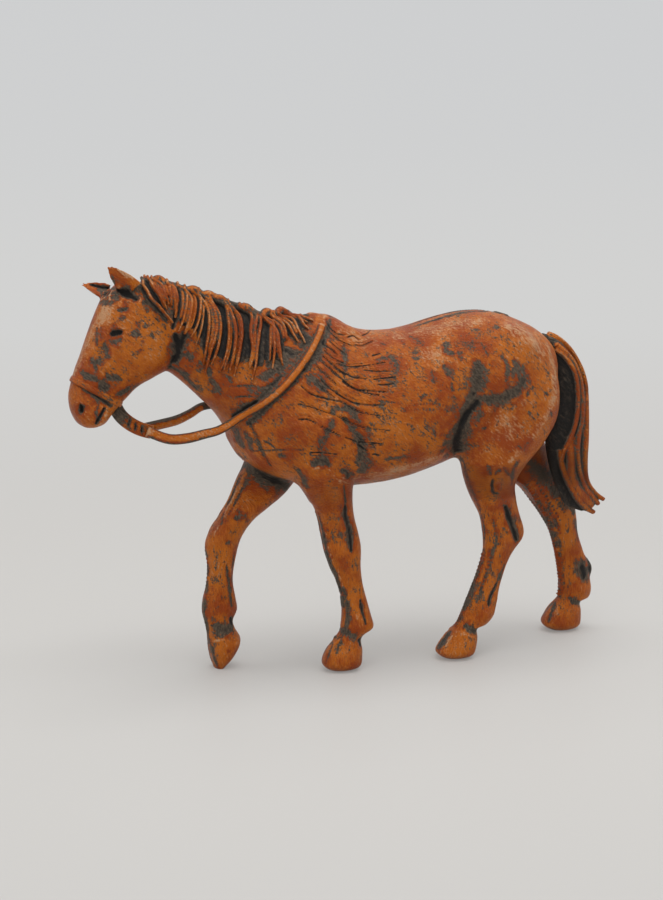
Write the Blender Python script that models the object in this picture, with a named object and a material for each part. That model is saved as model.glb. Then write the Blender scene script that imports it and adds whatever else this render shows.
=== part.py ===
"""A toy farm horse, walking, as the moulded pieces that it is glued up from.

The head points to -X, the left side of the horse is the -Y side, and the hooves stand on Z = 0.
Outlines are tables of shares. Along the horse a share is of BODY_LENGTH, measured from the middle of
the whole figure, and upwards it is of WITHERS_HEIGHT, measured from the ground.
"""

import bpy
import bmesh
import numpy as np
from mathutils import Matrix, Vector
from mathutils.bvhtree import BVHTree

# Main sizes, in metres.
WITHERS_HEIGHT = 0.0520
BODY_LENGTH = 0.0520
BARREL_WIDTH = 0.0200
HEAD_WIDTH = 0.0074
FORE_LEG_WIDTH = 0.0056
HIND_LEG_WIDTH = 0.0058

# How far the middle of each leg stands from the middle plane of the horse.
LEFT_FORE_REACH = 0.0042
RIGHT_FORE_REACH = 0.0035
LEFT_HIND_REACH = 0.0042
RIGHT_HIND_REACH = 0.0049

# Moulded shells and the joints between them.
SHELL_WALL = 0.0017
CLEARANCE = 0.0003
LEG_PEG_RADIUS = 0.0014
LEG_PEG_LENGTH = 0.0036
PEG_ROOT = 0.0009
HEAD_PEG_RADIUS = 0.0016
HEAD_PEG_LENGTH = 0.0050
TAIL_PEG_RADIUS = 0.0009
TAIL_PEG_LENGTH = 0.0042
PIN_RADIUS = 0.0008
PIN_LENGTH = 0.0018
PIN_BOSS_RADIUS = 0.0020

# Hair.
MANE_THICKNESS = 0.0007
MANE_GROOVE = 0.0003
MANE_LOCKS = 15
TAIL_LOCK_RADIUS = 0.0013
EAR_RADIUS = 0.0012

# Tack.
NOSEBAND_WIDTH = 0.00095
NOSEBAND_THICKNESS = 0.00070
NOSEBAND_SUNK = 0.00080
REIN_RADIUS = 0.00064
STRAP_WIDTH = 0.0022
STRAP_THICKNESS = 0.0016
STRAP_TURNS = 1.0

# Where the pieces part.
LEG_JOINT_SHARE = 0.508
HEAD_JOINT_SHARE = -0.514
HEAD_JOINT_TILT = np.radians(5.0)

# How finely the forms are divided.
BODY_SIDES = 28
HEAD_SIDES = 20
LEG_SIDES = 14
LOCK_SIDES = 8
ROD_SIDES = 16
EAR_RINGS = 7
NOSEBAND_RINGS = 28
STRAP_STEPS = 6
REIN_STEPS = 3

# How square the sections are: 2 is a true oval.
TRUNK_SQUARENESS = 2.15
HEAD_SQUARENESS = 2.5
LEG_SQUARENESS = 2.2

# Paint, as linear colours.
COAT_BROWN = (0.33, 0.098, 0.030)
MANE_BROWN = (0.20, 0.070, 0.030)
TACK_BROWN = (0.30, 0.085, 0.028)
PAINT_ROUGHNESS = 0.42
SMOOTH_ANGLE = np.radians(40.0)

# Trunk and neck: top x, top z, bottom x, bottom z, width as a share of BARREL_WIDTH, and
# how much fuller the section is above its middle than below.
TRUNK_SHARES = (
    (-0.600, 1.092, -0.600, 0.930, 0.24, 0.00),
    (-0.545, 1.112, -0.540, 0.875, 0.30, 0.00),
    (-0.480, 1.093, -0.490, 0.832, 0.34, -0.05),
    (-0.400, 1.067, -0.443, 0.788, 0.40, -0.10),
    (-0.310, 1.036, -0.400, 0.746, 0.49, -0.15),
    (-0.230, 1.012, -0.369, 0.700, 0.61, -0.18),
    (-0.145, 0.995, -0.340, 0.640, 0.75, -0.18),
    (-0.065, 0.982, -0.280, 0.582, 0.84, -0.16),
    (0.015, 0.962, -0.165, 0.536, 0.90, -0.12),
    (0.085, 0.952, -0.040, 0.519, 0.96, -0.08),
    (0.170, 0.958, 0.100, 0.525, 1.00, -0.05),
    (0.260, 0.980, 0.220, 0.551, 0.99, -0.02),
    (0.350, 0.995, 0.320, 0.584, 0.93, 0.04),
    (0.440, 0.988, 0.420, 0.620, 0.89, 0.08),
    (0.520, 0.960, 0.505, 0.640, 0.79, 0.08),
    (0.577, 0.928, 0.567, 0.680, 0.63, 0.05),
    (0.614, 0.890, 0.607, 0.750, 0.42, 0.00),
    (0.624, 0.850, 0.622, 0.800, 0.20, 0.00),
)

# Head, from the poll to the lips: face x, face z, jaw x, jaw z, width as a share of HEAD_WIDTH,
# and fullness towards the face.
HEAD_SHARES = (
    (-0.672, 1.122, -0.570, 1.116, 0.40, 0.00),
    (-0.714, 1.082, -0.530, 1.055, 0.82, 0.05),
    (-0.740, 1.030, -0.515, 0.960, 0.97, 0.00),
    (-0.760, 0.980, -0.530, 0.890, 1.00, -0.05),
    (-0.779, 0.930, -0.575, 0.862, 0.92, -0.05),
    (-0.796, 0.888, -0.625, 0.836, 0.78, 0.00),
    (-0.808, 0.850, -0.660, 0.803, 0.70, 0.00),
    (-0.814, 0.815, -0.686, 0.778, 0.72, 0.00),
    (-0.809, 0.778, -0.704, 0.758, 0.72, 0.00),
    (-0.793, 0.746, -0.718, 0.742, 0.60, 0.00),
    (-0.773, 0.732, -0.740, 0.731, 0.34, 0.00),
)

# Ears: base x, base z, tip x, tip z, and how far base and tip stand out, as shares of HEAD_WIDTH.
LEFT_EAR_SHARES = (-0.632, 1.098, -0.708, 1.170, -0.26, -0.27)
RIGHT_EAR_SHARES = (-0.672, 1.085, -0.754, 1.120, 0.30, 0.27)

# An ear's thickness as a share of its breadth, its blunt tip as a share of its radius, and how late it tapers.
EAR_THIN_SHARE = 0.7
EAR_TIP_SHARE = 0.12
EAR_TAPER = 2.2

# Standing fore leg and its shoulder: front x, front z, back x, back z, width as a share of
# FORE_LEG_WIDTH, and how far it stands out as a share of the leg's reach.
LEFT_FORE_SHARES = (
    (-0.086, 0.000, -0.030, 0.000, 0.42, 1.00),
    (-0.105, 0.010, -0.006, 0.008, 0.80, 1.00),
    (-0.113, 0.026, 0.001, 0.022, 0.98, 1.00),
    (-0.103, 0.055, 0.003, 0.055, 0.90, 1.00),
    (-0.079, 0.086, 0.000, 0.084, 0.66, 1.00),
    (-0.068, 0.100, 0.010, 0.100, 0.62, 1.00),
    (-0.059, 0.122, 0.038, 0.118, 0.68, 1.00),
    (-0.054, 0.155, 0.032, 0.150, 0.62, 1.00),
    (-0.056, 0.200, 0.018, 0.200, 0.52, 1.00),
    (-0.066, 0.250, 0.005, 0.250, 0.52, 1.00),
    (-0.089, 0.300, -0.001, 0.300, 0.62, 1.00),
    (-0.106, 0.350, 0.000, 0.350, 0.70, 1.00),
    (-0.117, 0.400, -0.010, 0.400, 0.72, 1.00),
    (-0.128, 0.450, -0.024, 0.450, 0.86, 1.02),
    (-0.151, 0.500, -0.030, 0.500, 1.02, 1.05),
    (-0.190, 0.555, -0.030, 0.550, 1.18, 1.10),
    (-0.240, 0.630, -0.030, 0.610, 1.30, 1.14),
    (-0.270, 0.720, -0.045, 0.690, 1.36, 1.10),
    (-0.240, 0.810, -0.055, 0.790, 1.26, 0.96),
    (-0.180, 0.890, -0.060, 0.870, 0.90, 0.78),
)

# Lifted fore leg, which stands on the tip of its toe.
RIGHT_FORE_SHARES = (
    (-0.385, -0.008, -0.366, -0.004, 0.42, 1.00),
    (-0.393, 0.020, -0.338, 0.025, 0.74, 1.00),
    (-0.400, 0.050, -0.316, 0.060, 0.94, 1.00),
    (-0.403, 0.078, -0.312, 0.086, 0.90, 1.00),
    (-0.406, 0.106, -0.326, 0.112, 0.68, 1.00),
    (-0.410, 0.130, -0.332, 0.136, 0.62, 1.00),
    (-0.419, 0.165, -0.319, 0.168, 0.66, 1.00),
    (-0.417, 0.200, -0.323, 0.200, 0.60, 1.00),
    (-0.406, 0.250, -0.331, 0.250, 0.52, 1.00),
    (-0.403, 0.300, -0.326, 0.300, 0.62, 1.00),
    (-0.410, 0.350, -0.315, 0.348, 0.70, 1.00),
    (-0.402, 0.385, -0.300, 0.385, 0.74, 1.00),
    (-0.368, 0.436, -0.268, 0.424, 0.84, 1.02),
    (-0.338, 0.482, -0.215, 0.462, 0.98, 1.05),
    (-0.316, 0.530, -0.160, 0.505, 1.14, 1.12),
    (-0.272, 0.620, -0.090, 0.590, 1.30, 1.28),
    (-0.268, 0.720, -0.060, 0.690, 1.36, 1.30),
    (-0.240, 0.810, -0.055, 0.790, 1.26, 1.16),
    (-0.180, 0.890, -0.060, 0.870, 0.90, 0.94),
)

# Standing hind leg and its thigh, as shares of HIND_LEG_WIDTH and of the leg's reach.
LEFT_HIND_SHARES = (
    (0.268, 0.000, 0.326, 0.000, 0.42, 1.00),
    (0.247, 0.010, 0.346, 0.008, 0.78, 1.00),
    (0.238, 0.026, 0.353, 0.022, 0.98, 1.00),
    (0.260, 0.055, 0.360, 0.058, 0.90, 1.00),
    (0.285, 0.085, 0.359, 0.084, 0.68, 1.00),
    (0.300, 0.100, 0.390, 0.094, 0.66, 1.00),
    (0.311, 0.120, 0.412, 0.118, 0.70, 1.00),
    (0.324, 0.150, 0.421, 0.150, 0.64, 1.00),
    (0.347, 0.200, 0.431, 0.200, 0.54, 1.00),
    (0.366, 0.250, 0.446, 0.250, 0.56, 1.00),
    (0.380, 0.300, 0.468, 0.298, 0.62, 1.00),
    (0.382, 0.335, 0.500, 0.338, 0.70, 1.00),
    (0.378, 0.370, 0.504, 0.368, 0.72, 1.00),
    (0.368, 0.415, 0.489, 0.412, 0.74, 1.00),
    (0.344, 0.460, 0.476, 0.460, 0.86, 1.04),
    (0.324, 0.505, 0.470, 0.508, 1.06, 1.10),
    (0.308, 0.555, 0.500, 0.560, 1.30, 1.14),
    (0.300, 0.630, 0.558, 0.620, 1.48, 1.14),
    (0.318, 0.720, 0.602, 0.700, 1.52, 1.12),
    (0.350, 0.810, 0.604, 0.800, 1.42, 1.02),
    (0.400, 0.890, 0.574, 0.880, 1.00, 0.86),
)

# Hind leg stretched out behind.
RIGHT_HIND_SHARES = (
    (0.692, 0.000, 0.750, 0.000, 0.42, 1.00),
    (0.670, 0.010, 0.770, 0.008, 0.78, 1.00),
    (0.658, 0.028, 0.778, 0.022, 0.98, 1.00),
    (0.674, 0.055, 0.779, 0.058, 0.90, 1.00),
    (0.697, 0.084, 0.776, 0.084, 0.68, 1.00),
    (0.710, 0.100, 0.806, 0.094, 0.66, 1.00),
    (0.716, 0.125, 0.814, 0.120, 0.70, 1.00),
    (0.716, 0.160, 0.809, 0.155, 0.64, 1.00),
    (0.712, 0.205, 0.800, 0.205, 0.56, 1.00),
    (0.704, 0.250, 0.781, 0.250, 0.56, 1.00),
    (0.688, 0.298, 0.765, 0.300, 0.62, 1.00),
    (0.662, 0.345, 0.760, 0.346, 0.70, 1.00),
    (0.634, 0.384, 0.750, 0.386, 0.72, 1.00),
    (0.600, 0.424, 0.716, 0.428, 0.78, 1.00),
    (0.558, 0.462, 0.692, 0.476, 0.92, 1.00),
    (0.498, 0.510, 0.668, 0.535, 1.12, 1.00),
    (0.420, 0.570, 0.640, 0.610, 1.36, 1.00),
    (0.360, 0.660, 0.615, 0.690, 1.52, 0.98),
    (0.350, 0.760, 0.605, 0.780, 1.50, 0.94),
    (0.360, 0.840, 0.590, 0.840, 1.34, 0.86),
    (0.410, 0.900, 0.560, 0.890, 0.96, 0.76),
)

# Tail locks from the dock down: x, z and thickness as a share of TAIL_LOCK_RADIUS. Then how far each
# lock stands to one side, how much of that it does at the dock, and how deep a lock is for its thickness.
TAIL_LOCK_SHARES = (
    ((0.580, 0.905, 0.75), (0.650, 0.883, 0.85), (0.692, 0.832, 0.75), (0.713, 0.768, 0.75),
     (0.724, 0.690, 0.80), (0.724, 0.600, 0.85), (0.720, 0.520, 0.85), (0.742, 0.460, 0.80),
     (0.800, 0.413, 0.25)),
    ((0.580, 0.900, 0.70), (0.642, 0.876, 0.75), (0.684, 0.818, 0.70), (0.704, 0.750, 0.75),
     (0.711, 0.670, 0.80), (0.702, 0.590, 0.90), (0.696, 0.520, 0.90), (0.720, 0.450, 0.80),
     (0.774, 0.399, 0.25)),
    ((0.580, 0.895, 0.60), (0.638, 0.866, 0.65), (0.680, 0.808, 0.60), (0.698, 0.740, 0.65),
     (0.700, 0.670, 0.75), (0.682, 0.600, 0.80), (0.676, 0.540, 0.85), (0.699, 0.440, 0.80),
     (0.762, 0.375, 0.25)),
    ((0.580, 0.890, 0.50), (0.638, 0.860, 0.55), (0.680, 0.800, 0.50), (0.696, 0.730, 0.50),
     (0.694, 0.670, 0.55), (0.676, 0.620, 0.55), (0.660, 0.568, 0.22)),
)
TAIL_SPREAD_SHARES = (-0.45, 0.45, 0.00, -0.35)
TAIL_ROOT_SHARE = 0.3
TAIL_DEPTH_SHARE = 1.35
TAIL_PEG_SHARES = (0.652, 0.874, 0.572, 0.886)

# Mane: where it starts and ends along the neck, as shares of the way along TRUNK_SHARES, how far it
# goes over the crest, and how far it falls, in turns round the neck. Its edge is thinned over a share of
# the fall, down to a share of its thickness.
MANE_START_SHARE = 0.020
MANE_END_SHARE = 0.372
MANE_OVER_SHARE = 0.045
MANE_FALL_SHARES = (0.13, 0.19, 0.25, 0.295, 0.315, 0.31, 0.275, 0.215, 0.14, 0.06)
MANE_EDGE_SHARE = 0.25
MANE_THIN_SHARE = 0.45
MANE_ROWS = 9
MANE_COLUMNS = 56

# Hollow of the trunk and the places of the locating pins.
HOLLOW_SHARES = (0.50, 0.80)
PIN_SHARES = ((0.000, 0.760), (0.200, 0.720), (0.400, 0.800))
HEAD_PEG_SHARES = ((-0.560, 0.985), (-0.440, 0.925))

# Tack: the ends of the noseband over the nose and under the chin, the strap, and the reins' routes.
NOSEBAND_SHARES = ((-0.812, 0.871), (-0.674, 0.791))
STRAP_SHARES = ((-0.682, 0.776), (-0.664, 0.750), (-0.640, 0.730), (-0.614, 0.717), (-0.596, 0.711))
LEFT_FREE_SHARES = (
    (-0.588, 0.706, 0.09),
    (-0.545, 0.689, 0.16),
    (-0.500, 0.691, 0.26),
    (-0.455, 0.703, 0.36),
    (-0.412, 0.717, 0.45),
)
RIGHT_FREE_SHARES = (
    (-0.588, 0.717, 0.09),
    (-0.545, 0.720, 0.16),
    (-0.496, 0.725, 0.25),
    (-0.452, 0.737, 0.34),
    (-0.412, 0.752, 0.42),
)
REIN_LAID_SHARES = (
    (-0.345, 0.756),
    (-0.305, 0.788),
    (-0.262, 0.822),
    (-0.216, 0.864),
    (-0.170, 0.910),
    (-0.132, 0.950),
    (-0.108, 0.978),
)


def at(x_share, z_share, y=0.0):
    """A point of the outline as a real place."""
    return np.array((x_share * BODY_LENGTH, y, z_share * WITHERS_HEIGHT))


def smooth(rows, steps):
    """Rows of a table with more rows between them, on a Catmull-Rom curve."""
    rows = np.array(rows, float)
    padded = np.vstack((2 * rows[0] - rows[1], rows, 2 * rows[-1] - rows[-2]))
    fine = []
    for a, b, c, d in zip(padded, padded[1:], padded[2:], padded[3:]):
        for t in np.arange(steps) / steps:
            fine.append(b + 0.5 * t * (c - a + t * (2 * a - 5 * b + 4 * c - d + t * (3 * b - a - 3 * c + d))))
    fine.append(rows[-1])
    return np.array(fine)


def rings_of(rows, width, reach, sides, steps, squareness, growth=0.0):
    """One ring of points for each row: an oval from the front point to the back point of the row.

    The oval is fuller towards the front where the last column says so, and growth widens it all round.
    """
    rows = smooth(rows, steps)
    front = np.stack((rows[:, 0] * BODY_LENGTH, rows[:, 1] * WITHERS_HEIGHT), axis=1)
    back = np.stack((rows[:, 2] * BODY_LENGTH, rows[:, 3] * WITHERS_HEIGHT), axis=1)
    middle = (front + back) / 2
    half = (front - back) / 2
    half *= 1 + growth / np.linalg.norm(half, axis=1, keepdims=True)
    half_width = rows[:, 4] * width / 2 + growth
    turn = 2 * np.pi * np.arange(sides) / sides
    along = np.sign(np.cos(turn)) * np.abs(np.cos(turn)) ** (2 / squareness)
    across = np.sign(np.sin(turn)) * np.abs(np.sin(turn)) ** (2 / squareness)
    rings = np.empty((len(rows), sides, 3))
    rings[:, :, 0] = middle[:, :1] + half[:, :1] * along
    rings[:, :, 2] = middle[:, 1:] + half[:, 1:] * along
    rings[:, :, 1] = half_width[:, None] * across
    if reach is None:
        rings[:, :, 1] *= 1 + rows[:, 5:] * along
    else:
        rings[:, :, 1] += reach * rows[:, 5:]
    return rings


def new_object(name, mesh, collection):
    """An object for a mesh. What goes in the shapers' collection only shapes the pieces."""
    piece = bpy.data.objects.new(name, mesh)
    collection.objects.link(piece)
    if collection is shapers:
        piece.hide_render = True
        piece.display_type = "WIRE"
    return piece


def loft(name, rings, collection, hoop=False):
    """A closed skin over rings of points, with a fan of triangles over each end, or joined as a hoop."""
    count, sides, _ = rings.shape
    points = rings.reshape(-1, 3)
    if not hoop:
        points = np.vstack((points, rings[0].mean(axis=0), rings[-1].mean(axis=0)))
    faces = []
    for i in range(sides):
        j = (i + 1) % sides
        for row in range(count if hoop else count - 1):
            here, there = row * sides, (row + 1) % count * sides
            faces.append((here + i, there + i, there + j, here + j))
        if not hoop:
            faces.append((count * sides, i, j))
            faces.append((count * sides + 1, (count - 1) * sides + j, (count - 1) * sides + i))
    mesh = bpy.data.meshes.new(name)
    mesh.from_pydata(points.tolist(), [], faces)
    shell = bmesh.new()
    shell.from_mesh(mesh)
    bmesh.ops.recalc_face_normals(shell, faces=shell.faces)
    shell.to_mesh(mesh)
    shell.free()
    return new_object(name, mesh, collection)


def box(name, low, high):
    """A block between two corners, for cutting."""
    low, high = Vector(low), Vector(high)
    size = Matrix.Diagonal((*(high - low), 1.0))
    mesh = bpy.data.meshes.new(name)
    block = bmesh.new()
    bmesh.ops.create_cube(block, size=1.0, matrix=Matrix.Translation((low + high) / 2) @ size)
    block.to_mesh(mesh)
    block.free()
    return new_object(name, mesh, shapers)


def rod(name, start, end, radius):
    """A round peg or hole from one point to another."""
    start, end = Vector(start), Vector(end)
    turn = (end - start).to_track_quat("Z", "Y").to_matrix().to_4x4()
    place = Matrix.Translation((start + end) / 2) @ turn
    mesh = bpy.data.meshes.new(name)
    peg = bmesh.new()
    bmesh.ops.create_cone(
        peg,
        cap_ends=True,
        segments=ROD_SIDES,
        radius1=radius,
        radius2=radius,
        depth=(end - start).length,
        matrix=place,
    )
    peg.to_mesh(mesh)
    peg.free()
    return new_object(name, mesh, shapers)


def shape(piece, operation, others):
    """Booleans on a piece, one for each of the other shapes."""
    for other in others:
        step = piece.modifiers.new(operation.lower() + "_" + other.name, "BOOLEAN")
        step.operation = operation
        step.object = other
        step.solver = "EXACT"


def tree_of(piece):
    """A search tree of a piece as its modifiers leave it."""
    bpy.context.view_layer.update()
    return BVHTree.FromObject(piece, bpy.context.evaluated_depsgraph_get())


def first_hit(trees, start, towards):
    """The nearest of the surfaces that a ray meets, as place and normal."""
    hits = [tree.ray_cast(Vector(start), Vector(towards)) for tree in trees]
    hits = [hit for hit in hits if hit[0] is not None]
    nearest = min(hits, key=lambda hit: hit[3])
    return np.array(nearest[0]), np.array(nearest[1])


def paint(piece, name, colour, roughness):
    """The painted plastic of a piece."""
    material = bpy.data.materials.new(name)
    material.use_nodes = True
    shader = material.node_tree.nodes["Principled BSDF"]
    shader.inputs["Base Color"].default_value = (*colour, 1.0)
    shader.inputs["Roughness"].default_value = roughness
    shader.inputs["Metallic"].default_value = 0.0
    material.diffuse_color = (*colour, 1.0)
    piece.data.materials.clear()
    piece.data.materials.append(material)


def round_shading(piece):
    """Smooth shading that keeps real edges sharp."""
    piece.data.shade_smooth()
    piece.data.set_sharp_from_angle(angle=SMOOTH_ANGLE)


for old in list(bpy.data.objects):
    bpy.data.objects.remove(old, do_unlink=True)

horse = bpy.data.collections.new("toy_farm_horse")
shapers = bpy.data.collections.new("shapers")
bpy.context.scene.collection.children.link(horse)
bpy.context.scene.collection.children.link(shapers)

# Whole forms that the pieces are cut from.
FAR = 2 * BODY_LENGTH
GAP = CLEARANCE / 2
trunk_rings = rings_of(TRUNK_SHARES, BARREL_WIDTH, None, BODY_SIDES, 2, TRUNK_SQUARENESS)
head_rings = rings_of(HEAD_SHARES, HEAD_WIDTH, None, HEAD_SIDES, 2, HEAD_SQUARENESS)
trunk_form = loft("trunk_form", trunk_rings, shapers)
head_form = loft("head_form", head_rings, shapers)
LEGS = {
    "left_fore_leg": (LEFT_FORE_SHARES, FORE_LEG_WIDTH, -LEFT_FORE_REACH),
    "right_fore_leg": (RIGHT_FORE_SHARES, FORE_LEG_WIDTH, RIGHT_FORE_REACH),
    "left_hind_leg": (LEFT_HIND_SHARES, HIND_LEG_WIDTH, -LEFT_HIND_REACH),
    "right_hind_leg": (RIGHT_HIND_SHARES, HIND_LEG_WIDTH, RIGHT_HIND_REACH),
}
leg_rings = {
    name: rings_of(shares, width, reach, LEG_SIDES, 1, LEG_SQUARENESS)
    for name, (shares, width, reach) in LEGS.items()
}
leg_forms = {name: loft(name + "_form", rings, shapers) for name, rings in leg_rings.items()}

# Planes where the pieces part, as blocks that keep or remove one side.
leg_joint = LEG_JOINT_SHARE * WITHERS_HEIGHT
head_joint = at(HEAD_JOINT_SHARE, 1.0)
left_side = box("left_side", (-FAR, -FAR, leg_joint + GAP), (FAR, -GAP, FAR))
right_side = box("right_side", (-FAR, GAP, leg_joint + GAP), (FAR, FAR, FAR))
below_joint = box("below_joint", (-FAR, -FAR, 0.0), (FAR, FAR, leg_joint - GAP))
tilt = Matrix.Rotation(HEAD_JOINT_TILT, 4, "Y")
before_neck = box("before_neck", (-FAR, -FAR, -FAR), (-GAP, FAR, FAR))
behind_head = box("behind_head", (GAP, -FAR, -FAR), (FAR, FAR, FAR))
for side in (before_neck, behind_head):
    side.matrix_world = Matrix.Translation(head_joint) @ tilt

# Legs: each is cut off level under the trunk, and its peg goes up from the cut.
sockets = {}
for name, form in leg_forms.items():
    leg = loft(name, leg_rings[name], horse)
    shape(leg, "INTERSECT", [below_joint])
    centre = leg_rings[name].mean(axis=1)
    across = [np.interp(leg_joint, centre[:, 2], centre[:, axis]) for axis in (0, 1)]
    foot = (*across, leg_joint - PEG_ROOT)
    head_end = (*across, leg_joint + LEG_PEG_LENGTH)
    hole_end = (*across, leg_joint + LEG_PEG_LENGTH + CLEARANCE)
    peg = rod(name + "_peg", foot, head_end, LEG_PEG_RADIUS)
    sockets[name] = rod(name + "_socket", foot, hole_end, LEG_PEG_RADIUS + CLEARANCE)
    shape(leg, "UNION", [peg])

# Head: the head form with the front of the neck, both ears and the peg.
ears = []
for name, shares in (("left_ear", LEFT_EAR_SHARES), ("right_ear", RIGHT_EAR_SHARES)):
    base = at(shares[0], shares[1], shares[4] * HEAD_WIDTH)
    tip = at(shares[2], shares[3], shares[5] * HEAD_WIDTH)
    upward = (tip - base) / np.linalg.norm(tip - base)
    outward = np.array((0.0, 1.0, 0.0))
    forward = np.cross(outward, upward)
    turn = 2 * np.pi * np.arange(LOCK_SIDES) / LOCK_SIDES
    rings = []
    for t in np.linspace(0.0, 1.0, EAR_RINGS):
        radius = EAR_RADIUS * (1 - t**EAR_TAPER + EAR_TIP_SHARE)
        oval = radius * (np.cos(turn)[:, None] * forward + EAR_THIN_SHARE * np.sin(turn)[:, None] * outward)
        rings.append(base + t * (tip - base) + oval)
    ears.append(loft(name, np.array(rings), shapers))
head_peg = rod("head_peg", *(at(*place) for place in HEAD_PEG_SHARES), HEAD_PEG_RADIUS)
along_peg = at(*HEAD_PEG_SHARES[1]) - at(*HEAD_PEG_SHARES[0])
along_peg /= np.linalg.norm(along_peg)
head_socket = rod(
    "head_socket",
    at(*HEAD_PEG_SHARES[0]),
    at(*HEAD_PEG_SHARES[1]) + CLEARANCE * along_peg,
    HEAD_PEG_RADIUS + CLEARANCE,
)
head = loft("head", head_rings, horse)
shape(head, "UNION", [trunk_form, *ears])
shape(head, "INTERSECT", [before_neck])
shape(head, "UNION", [head_peg])

# Noseband: a strap with rounded edges that lies all the way round the muzzle, in a groove of the head.
head_tree = tree_of(head_form)
over_nose, under_chin = (at(*place) for place in NOSEBAND_SHARES)
middle = (over_nose + under_chin) / 2
upward = (over_nose - under_chin) / np.linalg.norm(over_nose - under_chin)
crosswise = np.cross(upward, (0.0, 1.0, 0.0))
turn = 2 * np.pi * np.arange(LOCK_SIDES) / LOCK_SIDES
band_rings, groove_rings = [], []
for way in 2 * np.pi * np.arange(NOSEBAND_RINGS) / NOSEBAND_RINGS:
    outward = np.cos(way) * upward + np.sin(way) * np.array((0.0, 1.0, 0.0))
    place = first_hit([head_tree], middle + FAR * outward, -outward)[0]
    place += (CLEARANCE + NOSEBAND_THICKNESS / 2 - NOSEBAND_SUNK) * outward
    for rings, growth in ((band_rings, 0.0), (groove_rings, CLEARANCE)):
        thick = (NOSEBAND_THICKNESS / 2 + growth) * np.cos(turn)[:, None] * outward
        wide = (NOSEBAND_WIDTH / 2 + growth) * np.sin(turn)[:, None] * crosswise
        rings.append(place + thick + wide)
loft("noseband", np.array(band_rings), horse, hoop=True)
shape(head, "DIFFERENCE", [loft("noseband_groove", np.array(groove_rings), shapers, hoop=True)])

# Tail: locks joined at the dock, kept clear of the rump, with a peg into it.
grown_trunk = loft(
    "grown_trunk",
    rings_of(TRUNK_SHARES, BARREL_WIDTH, None, BODY_SIDES, 2, TRUNK_SQUARENESS, CLEARANCE),
    shapers,
)


def lock_rings(route, spread):
    """Rings along a lock: ovals square to its route, deeper across the horse than they are thick."""
    rows = smooth([(*at(x, z), share) for x, z, share in route], 2)
    path = rows[:, :3]
    path[:, 1] += spread * np.linspace(TAIL_ROOT_SHARE, 1.0, len(path))
    ahead = np.gradient(path, axis=0)
    ahead /= np.linalg.norm(ahead, axis=1, keepdims=True)
    aside = np.array((0.0, 1.0, 0.0))
    outward = np.cross(ahead, aside)
    outward /= np.linalg.norm(outward, axis=1, keepdims=True)
    turn = 2 * np.pi * np.arange(LOCK_SIDES) / LOCK_SIDES
    oval = np.cos(turn)[:, None, None] * outward + TAIL_DEPTH_SHARE * np.sin(turn)[:, None, None] * aside
    return path[:, None] + (rows[:, 3] * TAIL_LOCK_RADIUS)[:, None, None] * oval.transpose(1, 0, 2)


locks = []
for number, (route, spread) in enumerate(zip(TAIL_LOCK_SHARES, TAIL_SPREAD_SHARES)):
    rings = lock_rings(route, spread * TAIL_LOCK_RADIUS)
    if number:
        locks.append(loft(f"tail_lock_{number + 1}", rings, shapers))
    else:
        tail = loft("tail", rings, horse)
peg_start = at(*TAIL_PEG_SHARES[:2])
peg_end = at(*TAIL_PEG_SHARES[2:])
tail_peg = rod("tail_peg", peg_start, peg_end, TAIL_PEG_RADIUS)
along_peg = (peg_end - peg_start) / np.linalg.norm(peg_end - peg_start)
tail_socket = rod("tail_socket", peg_start, peg_end + CLEARANCE * along_peg, TAIL_PEG_RADIUS + CLEARANCE)
shape(tail, "UNION", locks)
shape(tail, "DIFFERENCE", [grown_trunk])
shape(tail, "UNION", [tail_peg])

# Trunk and neck: two hollow halves that close on pins and hold the pegs of the head and the tail.
first, last = (int(share * len(trunk_rings)) for share in HOLLOW_SHARES)
hollow_rings = rings_of(TRUNK_SHARES, BARREL_WIDTH, None, BODY_SIDES, 2, TRUNK_SQUARENESS, -SHELL_WALL)
hollow = loft("hollow", hollow_rings[first:last], shapers)
left_half = loft("left_body_half", trunk_rings, horse)
right_half = loft("right_body_half", trunk_rings, horse)
trunk_tree = tree_of(trunk_form)
for half, names, side, sign in (
    (left_half, ("left_fore_leg", "left_hind_leg"), left_side, -1),
    (right_half, ("right_fore_leg", "right_hind_leg"), right_side, 1),
):
    bosses, pins, holes = [], [], []
    for number, place in enumerate(PIN_SHARES):
        outer = first_hit([trunk_tree], at(*place, sign * FAR), (0.0, -sign, 0.0))[0]
        reach = outer[1] - sign * SHELL_WALL / 2
        bosses.append(rod(f"{half.name}_boss_{number}", at(*place, sign * GAP), at(*place, reach), PIN_BOSS_RADIUS))
        pin_ends = at(*place, -PIN_LENGTH), at(*place, PIN_LENGTH)
        hole_end = at(*place, PIN_LENGTH + CLEARANCE)
        if sign < 0:
            pins.append(rod(f"pin_{number}", *pin_ends, PIN_RADIUS))
        else:
            holes.append(rod(f"pin_hole_{number}", pin_ends[0], hole_end, PIN_RADIUS + CLEARANCE))
    shape(half, "UNION", [leg_forms[name] for name in names])
    shape(half, "INTERSECT", [side, behind_head])
    shape(half, "DIFFERENCE", [hollow])
    shape(half, "UNION", bosses + pins)
    shape(half, "DIFFERENCE", holes + [sockets[name] for name in names] + [head_socket, tail_socket])

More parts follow.
